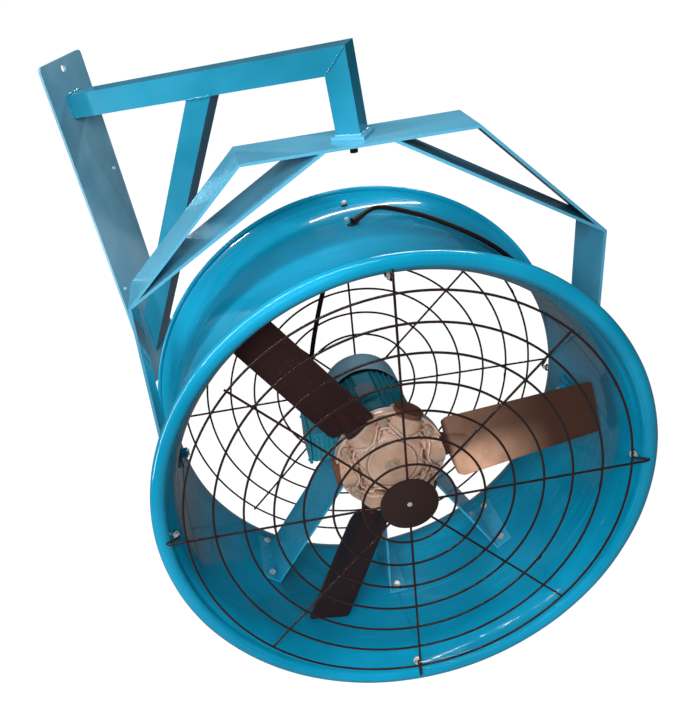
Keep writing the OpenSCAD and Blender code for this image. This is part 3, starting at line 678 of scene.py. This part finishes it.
def guard_rings(first, drop, z, seed):
    """Rings of wire with the slight sway of bent rod, each closed by its own weld."""
    rings = Shape()
    for i in range(RING_COUNT):
        r = first + RING_STEP * i
        path = []
        for j in range(144):
            a = TURN * j / 144
            sway = noise.noise_vector(Vector((cos(a) * 1.3, sin(a) * 1.3, i * 3.1 + seed)))
            q = r + sway.x * 1.4
            path.append((q * cos(a), q * sin(a) - drop, z + sway.y * 1.1))
        rings.add(tube(path, WIRE_R, 10, closed=True))
        weld = radians(200 + 31 * i)
        line = [(r * cos(weld + k * 0.01), r * sin(weld + k * 0.01) - drop, z)
                for k in (-2, -1, 0, 1, 2)]
        rings.add(tube(line, [2.4, 3.0, 3.3, 3.0, 2.4], 10))
    return rings


def guard_spokes(first, drop, z, side, dirs, inner, reach, bolt):
    """Eight spokes; every other one folds back to the sheet and ends in an eye."""
    spokes = Shape()
    middle = Vector((0, -drop, z))
    bolt_r, bolt_h, bolt_a = bolt[0], bolt[1], radians(bolt[2])
    up = Vector((0, 0, 1))
    for k, angle in enumerate(dirs):
        outward = Vector((cos(radians(angle)), sin(radians(angle)), 0))
        if k % 2:
            way, last = outward, first + RING_STEP * (RING_COUNT - 1) + 4
            spokes.add(tube([middle + way * inner, middle + way * last], WIRE_R, 10))
        else:
            elbow = outward * reach + up * z
            way = (elbow - middle).normalized()
            along = (-sin(bolt_a) * outward + cos(bolt_a) * up) * -side
            lift = (-cos(bolt_a) * outward - sin(bolt_a) * up) * (WIRE_R + 0.1)
            eye = bolt_r * outward + bolt_h * up + lift
            cross = up.cross(outward)
            line = [elbow - way * 10, elbow - way * 3 - up * side, elbow - up * side * 6]
            line += [eye - along * 16]
            for i in range(20):
                a = TURN * i / 20
                line.append(eye - along * EYE_R * cos(a) + cross * EYE_R * sin(a))
            spokes.add(tube([middle + way * inner] + smooth_line(line, 4), WIRE_R, 10))
        # a small flattened blob where the spoke crosses each ring
        for i in range(RING_COUNT - (drop == 0)):
            spot = middle + way * (first + RING_STEP * i) + Vector((0, 0, side * 2.4))
            spokes.add(tube([spot + way * d for d in (-4.2, -2.4, 0, 2.4, 4.2)],
                            [0.6, 2.3, 2.9, 2.3, 0.6], 8))
    return spokes


def guard_piece(shape, name, node):
    shape.piece(name, MOUTH, "drum", "black_coat", guard_black, 60, (node,))


guard_piece(guard_rings(FRONT_FIRST, 0, FRONT_H, 0), "front_rings", "front_guard_rings")
guard_piece(guard_rings(BACK_FIRST, BACK_DROP, -BACK_H, 7), "rear_rings", "rear_guard_rings")
guard_piece(guard_spokes(FRONT_FIRST, 0, SPOKE_H, 1, FRONT_DIRS, SPOKE_START, ELBOW_R,
                         FRONT_BOLT), "front_spokes", "front_guard_spokes")
guard_piece(guard_spokes(BACK_FIRST, BACK_DROP, -BACK_SPOKE_H, -1, BACK_DIRS, BACK_SPOKE_START,
                         BACK_ELBOW_R, REAR_BOLT), "rear_spokes", "rear_guard_spokes")

DISC_R = 61
disc = Shape().add(cupped([
    (0, SPOKE_H + WIRE_R), (DISC_R - 1, SPOKE_H + WIRE_R), (DISC_R, SPOKE_H + WIRE_R + 0.6),
    (DISC_R, FRONT_H - 0.4), (DISC_R - 0.8, FRONT_H + 0.3), (DISC_R - 3, FRONT_H + 0.5),
    (20, FRONT_H + 0.9), (0, FRONT_H + 1)], 128))
disc.piece("guard_disc", MOUTH, "drum", "black_coat", guard_black, 40, ("front_guard_disc",))
rivet = Shape().add(cupped([(0, FRONT_H), (5.5, FRONT_H), (5.2, FRONT_H + 1.6),
                            (3.4, FRONT_H + 2.6), (0, FRONT_H + 2.9)], 24))
rivet.piece("disc_rivet", MOUTH, "drum", "zinc_steel", bright_zinc, 40)

guard_bolts = Shape()
for dirs, (bolt_r, bolt_h, slope) in ((FRONT_DIRS, FRONT_BOLT), (BACK_DIRS, REAR_BOLT)):
    for k, angle in enumerate(dirs[::2]):
        place = around(angle) @ shift(bolt_r, -bolt_h, 0) @ turn_z(slope) @ turn_y(90)
        bolt_set(guard_bolts, place @ turn_x(180) @ turn_z(17 * k) @ shift(0, 0, 5.2),
                 thread=6, across=10, head=5.6, plate=1.8, far=8.6)
guard_bolts.piece("guard_fixings", DRUM, "drum", "zinc_steel", bright_zinc, 30, ("guard_bolts",))

# ---------------------------------------------------------------- impeller
# the hub's parting plane and outside, and the first blade's direction in degrees
HUB_H, HUB_R, BLADE_A = 168, 124, 7.1
HUB_BOLT_R, HUB_BOLT_H = 106, 22
# the round pocket over each root, and how far the boss and the rim stand over the plane
POCKET_R, BOSS_H, RIM_H = 39, 27, 13
# the cast ridges run in a wave round the boss
RIDGE_R, RIDGE_WAVE = 89, 12


def rise(low, high, x):
    """0 below low, 1 above high, and a smooth step between them."""
    t = min(1, max(0, (x - low) / (high - low)))
    return t * t * (3 - 2 * t)


def swell(x, width):
    """1 at 0, sinking smoothly to 0 at width on either side."""
    t = abs(x) / width
    return (1 - t * t) ** 2 if t < 1 else 0


def hub_height(r, angle):
    """How far the cast face stands above the parting plane at a place on the hub."""
    lane = (angle - BLADE_A + 30) % 60 - 30
    across = r * sin(radians(lane))
    pocket = sqrt(max(POCKET_R**2 - across**2, 0)) * rise(66, 82, r) * (1 - rise(117, 119, r))
    boss = BOSS_H - 13 * rise(64, 84, r)
    rim = RIM_H * (1 - rise(121.5, HUB_R, r) ** 2 * 0.6)
    wave = RIDGE_R - RIDGE_WAVE * cos(radians(6 * lane))
    ridges = 8.5 * swell(r - wave, 5) + 6 * swell(r - wave + 12, 4.2)
    ridges *= 1 - rise(108, 113, r)
    side = 30 - abs(lane)
    away = sqrt(max(0, r * r + HUB_BOLT_R**2 - 2 * r * HUB_BOLT_R * cos(radians(side))))
    bolt = HUB_BOLT_H * (1 - rise(9, 13.5, away))
    top = max(pocket, boss * (1 - rise(84, 100, r)), rim, 1) + ridges
    top = max(top * (1 - swell(away, 22) * 0.35), bolt)
    groove = 3.2 * (rise(54, 55.5, r) - rise(58.5, 60, r))
    centre = 2.5 * (1 - rise(15, 18, r)) - 1.2 * (rise(20, 30, r) - rise(46, 53, r))
    return top - groove + centre


def hub_face():
    """The hub's front half, made of rings of points, closest where the form is finest."""
    radii = [9 + 3 * i for i in range(15)] + [53, 54, 55, 56, 57.5, 59, 60, 61, 62.5]
    radii += [64 + 1.6 * i for i in range(33)]
    radii += [116.2, 117, 118, 119, 120, 121.5, 122.8, 123.6, HUB_R]
    steps, least = 300, 4
    points, faces = [], []
    for r in radii:
        for i in range(steps):
            a = 360 * i / steps
            high = HUB_H + max(hub_height(r, a), least)
            points.append((r * cos(radians(a)), r * sin(radians(a)), high))
    for i in range(steps):
        a = 360 * i / steps
        points.append((HUB_R * cos(radians(a)), HUB_R * sin(radians(a)), HUB_H))
    for j in range(len(radii)):
        for i in range(steps):
            k = (i + 1) % steps
            low, high = j * steps, (j + 1) * steps
            faces.append([high + i, high + k, low + k, low + i])
    points.append((0, 0, HUB_H + hub_height(9, 0)))
    faces += [[len(points) - 1, i, (i + 1) % steps] for i in range(steps)]
    return points, faces


Shape().add(hub_face()).piece("hub_face", MOUTH, "impeller", "hub_alloy", hub_alloy, 32,
                              ("hub_front",))

hub_fixings = Shape()
for k in range(6):
    place = turn_z(BLADE_A + 30 + 60 * k) @ shift(HUB_BOLT_R, 0, HUB_H + HUB_BOLT_H)
    place = place @ turn_z(23 * k)
    bolt_set(hub_fixings, place, thread=8, across=11, head=5.5, plate=1.2, far=34)
hub_fixings.piece("hub_fixings", MOUTH, "impeller", "zinc_steel", warm_zinc, 30, ("hub_bolts",))
centre = Shape()
bolt_set(centre, shift(0, 0, HUB_H + 29) @ turn_z(12), thread=10, across=17, head=7, plate=2)
centre.piece("centre_fixing", MOUTH, "impeller", "zinc_steel", warm_zinc, 30, ("centre_bolt",))

# the paddles: width across and pitch in degrees, each at the root and at the tip
TIP_R, ROOT_X = 464, 126
CHORD = (126, 110)
PITCH = (21, 13)
# how far the paddle's middle stands forward of the hub's parting plane
BLADE_H = 12
BELLY = 3.2
# the low side's extra width at the root, as a share, and how far it curls forward
WIDENING, CURL = 0.15, 22


def pitched(x, along, off, forward):
    """A point of the blade, along its chord and off it, turned by the pitch at x."""
    t = max(0, (x - ROOT_X) / (TIP_R - ROOT_X))
    pitch = radians(PITCH[0] + (PITCH[1] - PITCH[0]) * t)
    return (x, along * sin(pitch) - off * cos(pitch) - forward,
            along * cos(pitch) + off * sin(pitch))


def blade():
    """One paddle in the blade's own axes: x outwards, -y to the mouth, z across."""
    stations, around_count = 34, 40
    points, faces = [], []

    def put(x, u, v):
        """u along the chord from -0.5 to 0.5, v off the sheet in mm."""
        t = (x - ROOT_X) / (TIP_R - ROOT_X)
        chord = CHORD[0] + (CHORD[1] - CHORD[0]) * t
        belly = (1 - 4 * u * u) * BELLY
        if u < 0:
            chord *= 1 + WIDENING - 0.07 * t
            belly += CURL * (2 * u) ** 2 * (1 - 0.6 * t)
        points.append(pitched(x, u * chord, v + belly, BLADE_H))

    def half_thick(u):
        """Thinner towards the high side, with both edges rounded off."""
        nose = min(1.0, sqrt(max(0.0, (0.5 - abs(u)) / 0.05)))
        return (3.1 - 2.2 * u) * nose

    for i in range(stations + 1):
        t = i / stations
        for j in range(around_count):
            a = TURN * j / around_count
            u = 0.5 * cos(a)
            low = ROOT_X + 1 + 9 * rise(0.3, 0.9, 0.25 - u)
            corner_low = 14 * (max(0, abs(u) * 2 - 0.86) / 0.14) ** 2
            corner_high = 9 * (max(0, abs(u) * 2 - 0.88) / 0.12) ** 2
            x = (low + corner_low) * (1 - t) + (TIP_R - corner_high) * t
            thick = half_thick(u) * (0.35 + 0.65 * min(1, min(t, 1 - t) * stations / 1.2))
            put(x, u, thick if sin(a) >= 0 else -thick)
    for i in range(stations):
        for j in range(around_count):
            k = (j + 1) % around_count
            a, b = i * around_count, (i + 1) * around_count
            faces.append([a + j, a + k, b + k, b + j])
    half = around_count // 2
    for row, flip in ((0, 1), (stations, -1)):
        for j in range(half):
            a = row * around_count
            quad = [a + j, a + j + 1, a + (around_count - j - 1) % around_count,
                    a + (around_count - j) % around_count]
            quad = list(dict.fromkeys(quad))
            faces.append(quad[::flip])
    return points, faces


def neck():
    """The round root that the hub clamps, thinning into the paddle."""
    rows = [(86, 32, 32), (117, 32, 32), (120, 29, 29), (126, 26, 25), (136, 25, 21),
            (150, 23, 16), (164, 19, 11), (176, 13, 7), (186, 4, 4)]
    sides = 28
    points = []
    for x, wide, thick in rows:
        for j in range(sides):
            a = TURN * j / sides
            off = thick * sin(a) + 3 * rise(112, 150, x)
            points.append(pitched(x, wide * cos(a), off, BLADE_H * rise(118, 150, x)))
    faces = []
    for i in range(len(rows) - 1):
        for j in range(sides):
            k = (j + 1) % sides
            faces.append([i * sides + j, i * sides + k, (i + 1) * sides + k,
                          (i + 1) * sides + j])
    faces += [list(range(sides))[::-1], [(len(rows) - 1) * sides + j for j in range(sides)]]
    return points, faces


def blade_with_painted_light():
    """The blade with painted light: paler near its root and most on the low side, where it
    catches the light.
    """
    f = Finish("blade_painted_light")
    turn = (DRUM @ around(BLADE_A)).to_3x3()

    def reach(way):
        """Metres from the drum's axis, in one of the blade's own directions."""
        way = turn @ Vector(way)
        return f.dot(f.place, tuple(way)) - way.dot(DRUM.translation)

    out, high = reach((1, 0, 0)), reach((0, 0, 1))
    # painted light: pale tan near the root, kept off the neck, fading towards the tip and weaker
    # on the high side, in place of the light this blade catches
    dust_and_painted_light = (1 - out.between(0.13, 0.37)) * out.between(0.128, 0.14)
    dust_and_painted_light = dust_and_painted_light * (1 - high.between(-0.04, 0.02) * 0.8)
    dust_and_painted_light = dust_and_painted_light * (f.noise(16, 5, 0.65).between(0.25, 0.65) * 0.35 + 0.65)
    return f.surface(
        Base_Color=f.mix(dust_and_painted_light + 0.03, (0.020, 0.007, 0.005), (0.52, 0.30, 0.20)),
        Roughness=dust_and_painted_light * 0.3 + 0.42,
        Specular_IOR_Level=0.25,
        Normal=f.bump(f.noise(700, 2) + f.scuffs() * 0.4, 0.0003),
    )


# the first blade's finish has painted light near its root; the other two are plain brown
for k, finish in enumerate((blade_with_painted_light(), blade_brown, blade_brown)):
    place = around(BLADE_A + 120 * k) @ shift(0, -HUB_H, 0)
    name = f"blade_{k + 1}"
    paddle = Shape().add(blade(), place).add(neck(), place)
    paddle.piece(name + "_paddle", DRUM, "impeller", "blade_plastic", finish, 40, (name,))

# ---------------------------------------------------------------- motor
COWL_R, COWL_H, COWL_FRONT = 96, 192, 94
COWL_SHEET, COWL_BEND = 1.6, 16
ARC_RINGS = (34, 46, 58, 70)


def cowl_shell():
    """Deep-drawn sheet, open to the motor, with a round hole in its end face."""
    bend_r, bend_h = COWL_R - COWL_BEND, -COWL_H + COWL_BEND
    profile = [(COWL_R - COWL_SHEET, -COWL_FRONT), (COWL_R, -COWL_FRONT), (COWL_R, bend_h)]
    profile += arc(bend_r, bend_h, COWL_BEND, 0, -90, 8)[1:]
    profile += [(26, -COWL_H), (26, -COWL_H + COWL_SHEET)]
    profile += arc(bend_r, bend_h, COWL_BEND - COWL_SHEET, -90, 0, 8)
    return turned(profile, 96)


# the end face has rings of raised arcs, and a cap over the hole
cowl = Shape().add(cowl_shell())
for i in range(12):
    for r in ARC_RINGS:
        span = 11.1
        bar = [(r * cos(radians(30 * i + s)), r * sin(radians(30 * i + s)), -COWL_H + 0.2)
               for s in (-span, -span / 2, 0, span / 2, span)]
        cowl.add(tube(bar, 2.1, 8))
cowl.add(cupped([(0, -COWL_H - 0.6), (24, -COWL_H - 0.6), (26.4, -COWL_H + 0.4),
                 (26.4, -COWL_H + COWL_SHEET), (0, -COWL_H + COWL_SHEET)], 48))
cowl.piece("motor_cowl", MOUTH, "drum", "motor_paint", cowl_blue, 40, ("fan_cowl",))

# half the length and width of the bare plate on top of the motor
PLATE_X, PLATE_Y = 27, 17
plate_place = around(101) @ shift(93.2, -8, 0) @ turn_y(90) @ turn_z(90)
corners = ((PLATE_X, PLATE_Y, 0), (-PLATE_X, PLATE_Y, 90), (-PLATE_X, -PLATE_Y, 180),
           (PLATE_X, -PLATE_Y, 270))
outline = [p for x, y, a in corners for p in arc(x, y, 3, a, a + 90, 4)]
plate = Shape().add(prism(outline, 0, 0.8), plate_place)
for x in (-24, 24):
    plate.add(cupped([(0, 0.8), (2, 0.8), (1.6, 1.7), (0, 2)], 12), plate_place @ shift(x, 0, 0))
plate.piece("motor_plate", DRUM, "drum", "dark_steel", bare_plate, 30)


def rounded_box(x0, x1, y0, y1, z0, z1, radius, chamfer):
    """A cast box: round upright corners and chamfers round both ends."""
    points = []
    for inset, z in ((chamfer, z0), (0, z0 + chamfer), (0, z1 - chamfer), (chamfer, z1)):
        for x, y, a in ((x1, y1, 0), (x0, y1, 90), (x0, y0, 180), (x1, y0, 270)):
            cx = x - radius if x == x1 else x + radius
            cy = y - radius if y == y1 else y + radius
            points += [(u, v, z) for u, v in arc(cx, cy, radius - inset, a, a + 90, 5)]
    n = len(points) // 4
    faces = [[k * n + i, k * n + (i + 1) % n, (k + 1) * n + (i + 1) % n, (k + 1) * n + i]
             for k in range(3) for i in range(n)]
    return points, faces + [list(range(n))[::-1], list(range(3 * n, 4 * n))]


# the terminal box on the motor's left: its outer face, front, back, bottom and top
BOX_SIDE, BOX_FRONT, BOX_BACK, BOX_LOW, BOX_HIGH = -164, -85, 25, -34, 40
COVER_SIDE, COVER_EDGE = -172, 2
RIB_STEP, RIB_WIDE = 11, 3.5

casing = Shape().add(rounded_box(BOX_SIDE, -96, BOX_FRONT, BOX_BACK, BOX_LOW, BOX_HIGH, 7, 3))
for i in range(6):
    rib = BOX_SIDE + 4 + RIB_STEP * i
    casing.add(block(rib, rib + RIB_WIDE, BOX_FRONT - 4, BOX_FRONT + 1, BOX_LOW + 6,
                     BOX_HIGH - 6))
casing.piece("terminal_casing", DRUM, "drum", "motor_paint", motor_teal, 30, ("terminal_box",))
cover = Shape().add(rounded_box(
    COVER_SIDE, BOX_SIDE - 0.2, BOX_FRONT - COVER_EDGE, BOX_BACK + COVER_EDGE,
    BOX_LOW - COVER_EDGE, BOX_HIGH + COVER_EDGE, 3, 1.5))
for y in (BOX_FRONT + 6, BOX_BACK - 6):
    for z in (BOX_LOW + 6, BOX_HIGH - 6):
        cover.add(nut_head(7, 3), shift(COVER_SIDE, y, z) @ turn_y(-90))
cover.piece("terminal_cover", DRUM, "drum", "motor_paint", motor_teal, 30, ("terminal_lid",))

# ---------------------------------------------------------------- motor lead
LEAD_D = 10.6
LEAD_ROUTE = [
    (-5, 40, 468), (-12, 38, 455), (-34, 34, 428), (-60, 30, 396), (-82, 24, 352),
    (-104, 17, 290), (-126, 8, 215), (-138, 0, 150), (-138, -6, 90), (-138, -8, 46),
]
lead_line = [DRUM @ (p * MM) for p in smooth_line(LEAD_ROUTE, 5)]
lead = Shape().add(tube([p / MM for p in lead_line], LEAD_D / 2, 12))
lead_run = lead.piece("motor_lead_run", WALL, "drum", "cord_rubber", cord_black, 60,
                      ("motor_lead",))
length_of(lead_line)
# the six-sided gland stands on the terminal box, round the lead's end
gland = Shape().add(turned([(5.6, 38), (13, 38), (13, 46), (11, 47), (11, 56), (8.5, 60),
                            (5.6, 60)], 6), shift(LEAD_ROUTE[-1][0], LEAD_ROUTE[-1][1], 0))
gland.piece("lead_gland", DRUM, "drum", "plug_plastic", plug_black, 30)

# ---------------------------------------------------------------- power cord
CORD_D = 11.0
# the coil's inner turns, and how far apart its turns lie
COIL_R, COIL_PITCH = 60.0, 11.4
COIL_PLACE = turn_y(31) @ shift(490, -20, 0) @ turn_y(90)
CORD_ROUTE = [
    (-5, 35, 484.6), (3.3, 40.2, 486.8), (11.5, 45.4, 489), (19.8, 50.6, 491.1),
    (35.9, 62.8, 494.4), (52, 76.6, 493.9), (74.9, 90.3, 487.7), (102.5, 96.4, 477.8),
    (134.1, 92.1, 466.6), (172, 76.7, 453.6), (232.5, 49.4, 424.8), (288.6, 41.4, 389),
    (343.7, 49.8, 341.2), (393, 64, 283), (436, 82, 211), (467, 92, 128), (482, 94, 44),
    (482, 88, -48), (468, 75, -122), (455, 61, -170), (440, 52, -208),
]


def coil_points():
    """Two turns winding in, a step up, and two turns winding out again."""
    points = []
    low, high = -COIL_PITCH / 2, COIL_PITCH / 2
    outer = COIL_R + COIL_PITCH
    steps = 30
    for i in range(2 * steps + 1):
        points.append((90 + 360 * i / steps, outer - COIL_PITCH * i / steps, low))
    for i in range(1, 8):
        points.append((90 + 720 + 90 * i / 8, outer - 2 * COIL_PITCH,
                       low + (high - low) * (1 - cos(pi * i / 8)) / 2))
    for i in range(2 * steps + 1):
        points.append((900 + 360 * i / steps, outer + COIL_PITCH * (i / steps - 2), high))
    return [COIL_PLACE @ Vector((-r * cos(radians(a)), r * sin(radians(a)), z))
            for a, r, z in points]


def cord_points():
    """The whole cord: from the grommet over the drum, round the coil and to the plug."""
    coil = coil_points()
    tail = [COIL_PLACE @ Vector(p)
            for p in ((71.4, -18, 5.2), (71.4, -38, 2), (71.4, -56, -2.5), (71.4, -66, -3.3))]
    line = smooth_line(CORD_ROUTE + coil[:1], 6)[:-1] + coil
    return line + smooth_line(coil[-1:] + tail, 5)[1:]


def along(line, reach):
    """The first points of a line, up to a distance along it."""
    points, gone = [line[0]], 0
    for a, b in zip(line, line[1:]):
        gone += (b - a).length
        if gone > reach:
            break
        points.append(b)
    return points


GROMMET_X, GROMMET_Y = -5, 35
cord_line = cord_points()
grommet = Shape().add(turned(
    [(6.6, DRUM_R - 5), (11.5, DRUM_R - 5), (12.5, DRUM_R - 3.6), (11.5, DRUM_R - 1),
     (9, DRUM_R - 0.4), (9, DRUM_R + 1.6), (12, DRUM_R + 1.8), (13, DRUM_R + 3),
     (12, DRUM_R + 4.6), (8.6, DRUM_R + 6.2), (6.6, DRUM_R + 5.8)], 40),
    shift(GROMMET_X, GROMMET_Y, 0))
grommet.piece("grommet_ring", DRUM, "drum", "cord_rubber", plug_black, 60, ("cord_grommet",))
# a rubber sleeve that thins along the cord's first stretch
sleeve_line = along(cord_line, 34)
radii = [8.4 - 2.4 * i / (len(sleeve_line) - 1) for i in range(len(sleeve_line))]
sleeve = Shape().add(tube(sleeve_line, radii, 20))
sleeve = sleeve.piece("cord_sleeve", DRUM, "drum", "cord_rubber", plug_black, 60)


def strap(wide):
    """A flat band, wide mm across, bent round the coil's turns."""
    band = []
    for x, y, a in ((14.5, 9.4, 0), (-14.5, 9.4, 90), (-14.5, -9.4, 180), (14.5, -9.4, 270)):
        band += arc(x, y, 3, a, a + 90, 6)
    outer = [(x * 1.075, y * 1.11) for x, y in band]
    n = len(band)
    points = [(x, y, z) for line in (band, outer) for y in (-wide / 2, wide / 2) for x, z in line]
    faces = []
    for i in range(n):
        k = (i + 1) % n
        faces += [[i, k, n + k, n + i], [2 * n + i, 3 * n + i, 3 * n + k, 2 * n + k],
                  [i, 2 * n + i, 2 * n + k, k], [n + i, n + k, 3 * n + k, 3 * n + i]]
    return points, faces


tie_place = COIL_PLACE @ shift(-COIL_R, 0, 0)
tie = Shape().add(strap(9), tie_place).add(block(-6, 6, -5.5, 5.5, 12.2, 16.5), tie_place)
tie = tie.piece("coil_tie", DRUM, "drum", "plug_plastic", plug_black, 40, ("cord_tie",))

plug_place = COIL_PLACE @ shift(71.2, -62, -3) @ turn_x(90)
plug_body = Shape().add(cupped(
    [(0, -2), (6.6, -2), (7.4, 2), (8.2, 12), (10.5, 16), (13.4, 21), (14, 26), (14, 40),
     (13, 43), (0, 43)], 40), plug_place)
for i in range(5):
    rib = turned([(6.6, 0), (8.6, 0.3), (8.6, 1.2), (6.6, 1.5)], 24)
    plug_body.add(rib, plug_place @ shift(0, 0, 2.6 * i))
plug_body = plug_body.piece("plug_body", DRUM, "drum", "plug_plastic", plug_black, 40,
                            ("plug",))
pins = Shape()
for x in (-7, 7):
    pins.add(cupped([(0, 42), (2.4, 42), (2.4, 60), (1.6, 62), (0, 62.4)], 20),
             plug_place @ shift(x, 0, 0))
pins = pins.piece("plug_pins", DRUM, "drum", "zinc_steel", bright_zinc, 40)

cord = Shape().add(tube(cord_line, CORD_D / 2, 12)).piece(
    "power_cord_run", DRUM, "drum", "cord_rubber", cord_black, 60,
    ("power_cord", "cord_coil", "cord_tail"))
cord_path = [DRUM @ (p * MM) for p in cord_line]
length_of(cord_path)

# ---------------------------------------------------------------- welds on the steelwork
REACH, ARM_Z, TUBE, PLATE = PIVOT[0], 297, 50, 6
# the brace meets the arm's underside and the wall plate at these distances
BRACE_TOP, BRACE_FOOT = 297, 226
half = TUBE / 2
arm_far, arm_lo, arm_hi = REACH + half, ARM_Z - half, ARM_Z + half


def square_weld(corner, other, radius, seed=0.0):
    """A bead round a square tube's end, whose cut runs between two (x, z) edges."""
    (x0, z0), (x1, z1) = corner, other
    ring = [(x0, -half, z0), (x1, -half, z1), (x1, half, z1), (x0, half, z0), (x0, -half, z0)]
    return lumpy_bead(ring, radius, seed)


brace_a = atan2(BRACE_TOP - PLATE, arm_lo + BRACE_FOOT)
brace_v, brace_u = TUBE / sin(brace_a), TUBE / cos(brace_a)
welds = Shape()
welds.add(square_weld((PLATE + 1.5, arm_lo), (PLATE + 1.5, arm_hi), 3.2))
for side in (-half, half):
    welds.add(lumpy_bead([(arm_far - TUBE + 3, side, arm_lo + 3),
                          (arm_far - 3, side, arm_hi - 3)], 1.7, side))
welds.add(square_weld((BRACE_TOP, arm_lo), (BRACE_TOP + brace_u, arm_lo), 2.8, 9))
welds.add(square_weld((PLATE + 1, -BRACE_FOOT), (PLATE + 1, -BRACE_FOOT - brace_v), 3, 5))
welds.piece("bracket_welds", WALL, "bracket", "blue_paint", bracket_blue, 60)


def flange_weld():
    """Runs round the foot of the drop tube, which stands square on the sloping flange."""
    up = YOKE.to_3x3() @ Vector((0, 0, 1))
    flange_top = 7.5
    base = YOKE @ Vector((0, 0, flange_top * MM)) / MM
    ring = []
    for x, y in ((-half, -half), (half, -half), (half, half), (-half, half), (-half, -half)):
        drop = -(up.x * (REACH + x - base.x) + up.y * (y - base.y)) / up.z
        ring.append((REACH + x, y, base.z + drop))
    return lumpy_bead(ring, 3.4, 2)


Shape().add(flange_weld()).piece("flange_welds", WALL, "bracket", "blue_paint", yoke_blue, 60)

# ---------------------------------------------------------------- floor and light
FLOOR_Z, FLOOR_HALF = -1.7, 30


def make_floor():
    """A dark floor that the camera sees nearly white, and white away from the fan."""
    f = Finish("floor_white")
    rays = f.add("ShaderNodeLightPath", out="Is Camera Ray")
    far = f.add("ShaderNodeVectorMath", {"operation": "LENGTH"}, {0: f.place}, "Value")
    glow = rays * (far.between(2.2, 4.5) * 0.1 + 0.9)
    material = f.surface(
        Base_Color=(0.13, 0.13, 0.13), Roughness=0.9, Specular_IOR_Level=0.1,
        Emission_Color=f.mix(glow, (0, 0, 0), (1, 1, 1)), Emission_Strength=1.0,
    )
    mesh = bpy.data.meshes.new("floor")
    corners = ((-1, -1), (1, -1), (1, 1), (-1, 1))
    mesh.from_pydata([(x * FLOOR_HALF, y * FLOOR_HALF, FLOOR_Z) for x, y in corners], [],
                     [[0, 1, 2, 3]])
    floor = bpy.data.objects.new("floor", mesh)
    bpy.context.scene.collection.objects.link(floor)
    mesh.materials.append(material)


def area_light(name, place, size, power, glints):
    """A soft rectangular light on the drum; glints says whether glossy faces mirror it."""
    data = bpy.data.lights.new(name, "AREA")
    data.shape, data.size, data.size_y = "RECTANGLE", *size
    data.energy = power
    light = bpy.data.objects.new(name, data)
    light.location = place
    way = DRUM.translation - Vector(place)
    light.rotation_euler = way.to_track_quat("-Z", "Y").to_euler()
    light.visible_glossy = glints
    bpy.context.scene.collection.objects.link(light)


def make_world():
    """A dim room for the fan, which the camera sees as white."""
    world = bpy.data.worlds.new("room")
    bpy.context.scene.world = world
    world.use_nodes = True
    tree = world.node_tree
    room = tree.nodes["Background"]
    seen = tree.nodes.new("ShaderNodeBackground")
    for node, colour, strength in ((room, (0.80, 0.92, 1, 1), 0.08), (seen, (1, 1, 1, 1), 1)):
        node.inputs["Color"].default_value = colour
        node.inputs["Strength"].default_value = strength
    rays = tree.nodes.new("ShaderNodeLightPath")
    either = tree.nodes.new("ShaderNodeMixShader")
    tree.links.new(rays.outputs["Is Camera Ray"], either.inputs[0])
    tree.links.new(room.outputs[0], either.inputs[1])
    tree.links.new(seen.outputs[0], either.inputs[2])
    tree.links.new(either.outputs[0], tree.nodes["World Output"].inputs["Surface"])


make_floor()
area_light("ceiling_soft", (-0.2, -1.2, 3.2), (3.0, 2.4), 10, glints=False)
area_light("front_soft", (1.4, -3.8, 1.8), (2.6, 2.2), 345, glints=False)
area_light("tube_left", (-1.0, -1.4, 2.3), (0.07, 2.4), 50, glints=True)
area_light("tube_top", (0.6, -0.8, 2.9), (2.6, 0.07), 38, glints=True)
area_light("tube_low", (-1.3, -1.4, 0.1), (0.07, 1.6), 20, glints=True)
area_light("tube_back", (0.8, 2.2, 2.2), (3.2, 0.08), 75, glints=True)
make_world()
bpy.context.scene.view_settings.view_transform = "Standard"
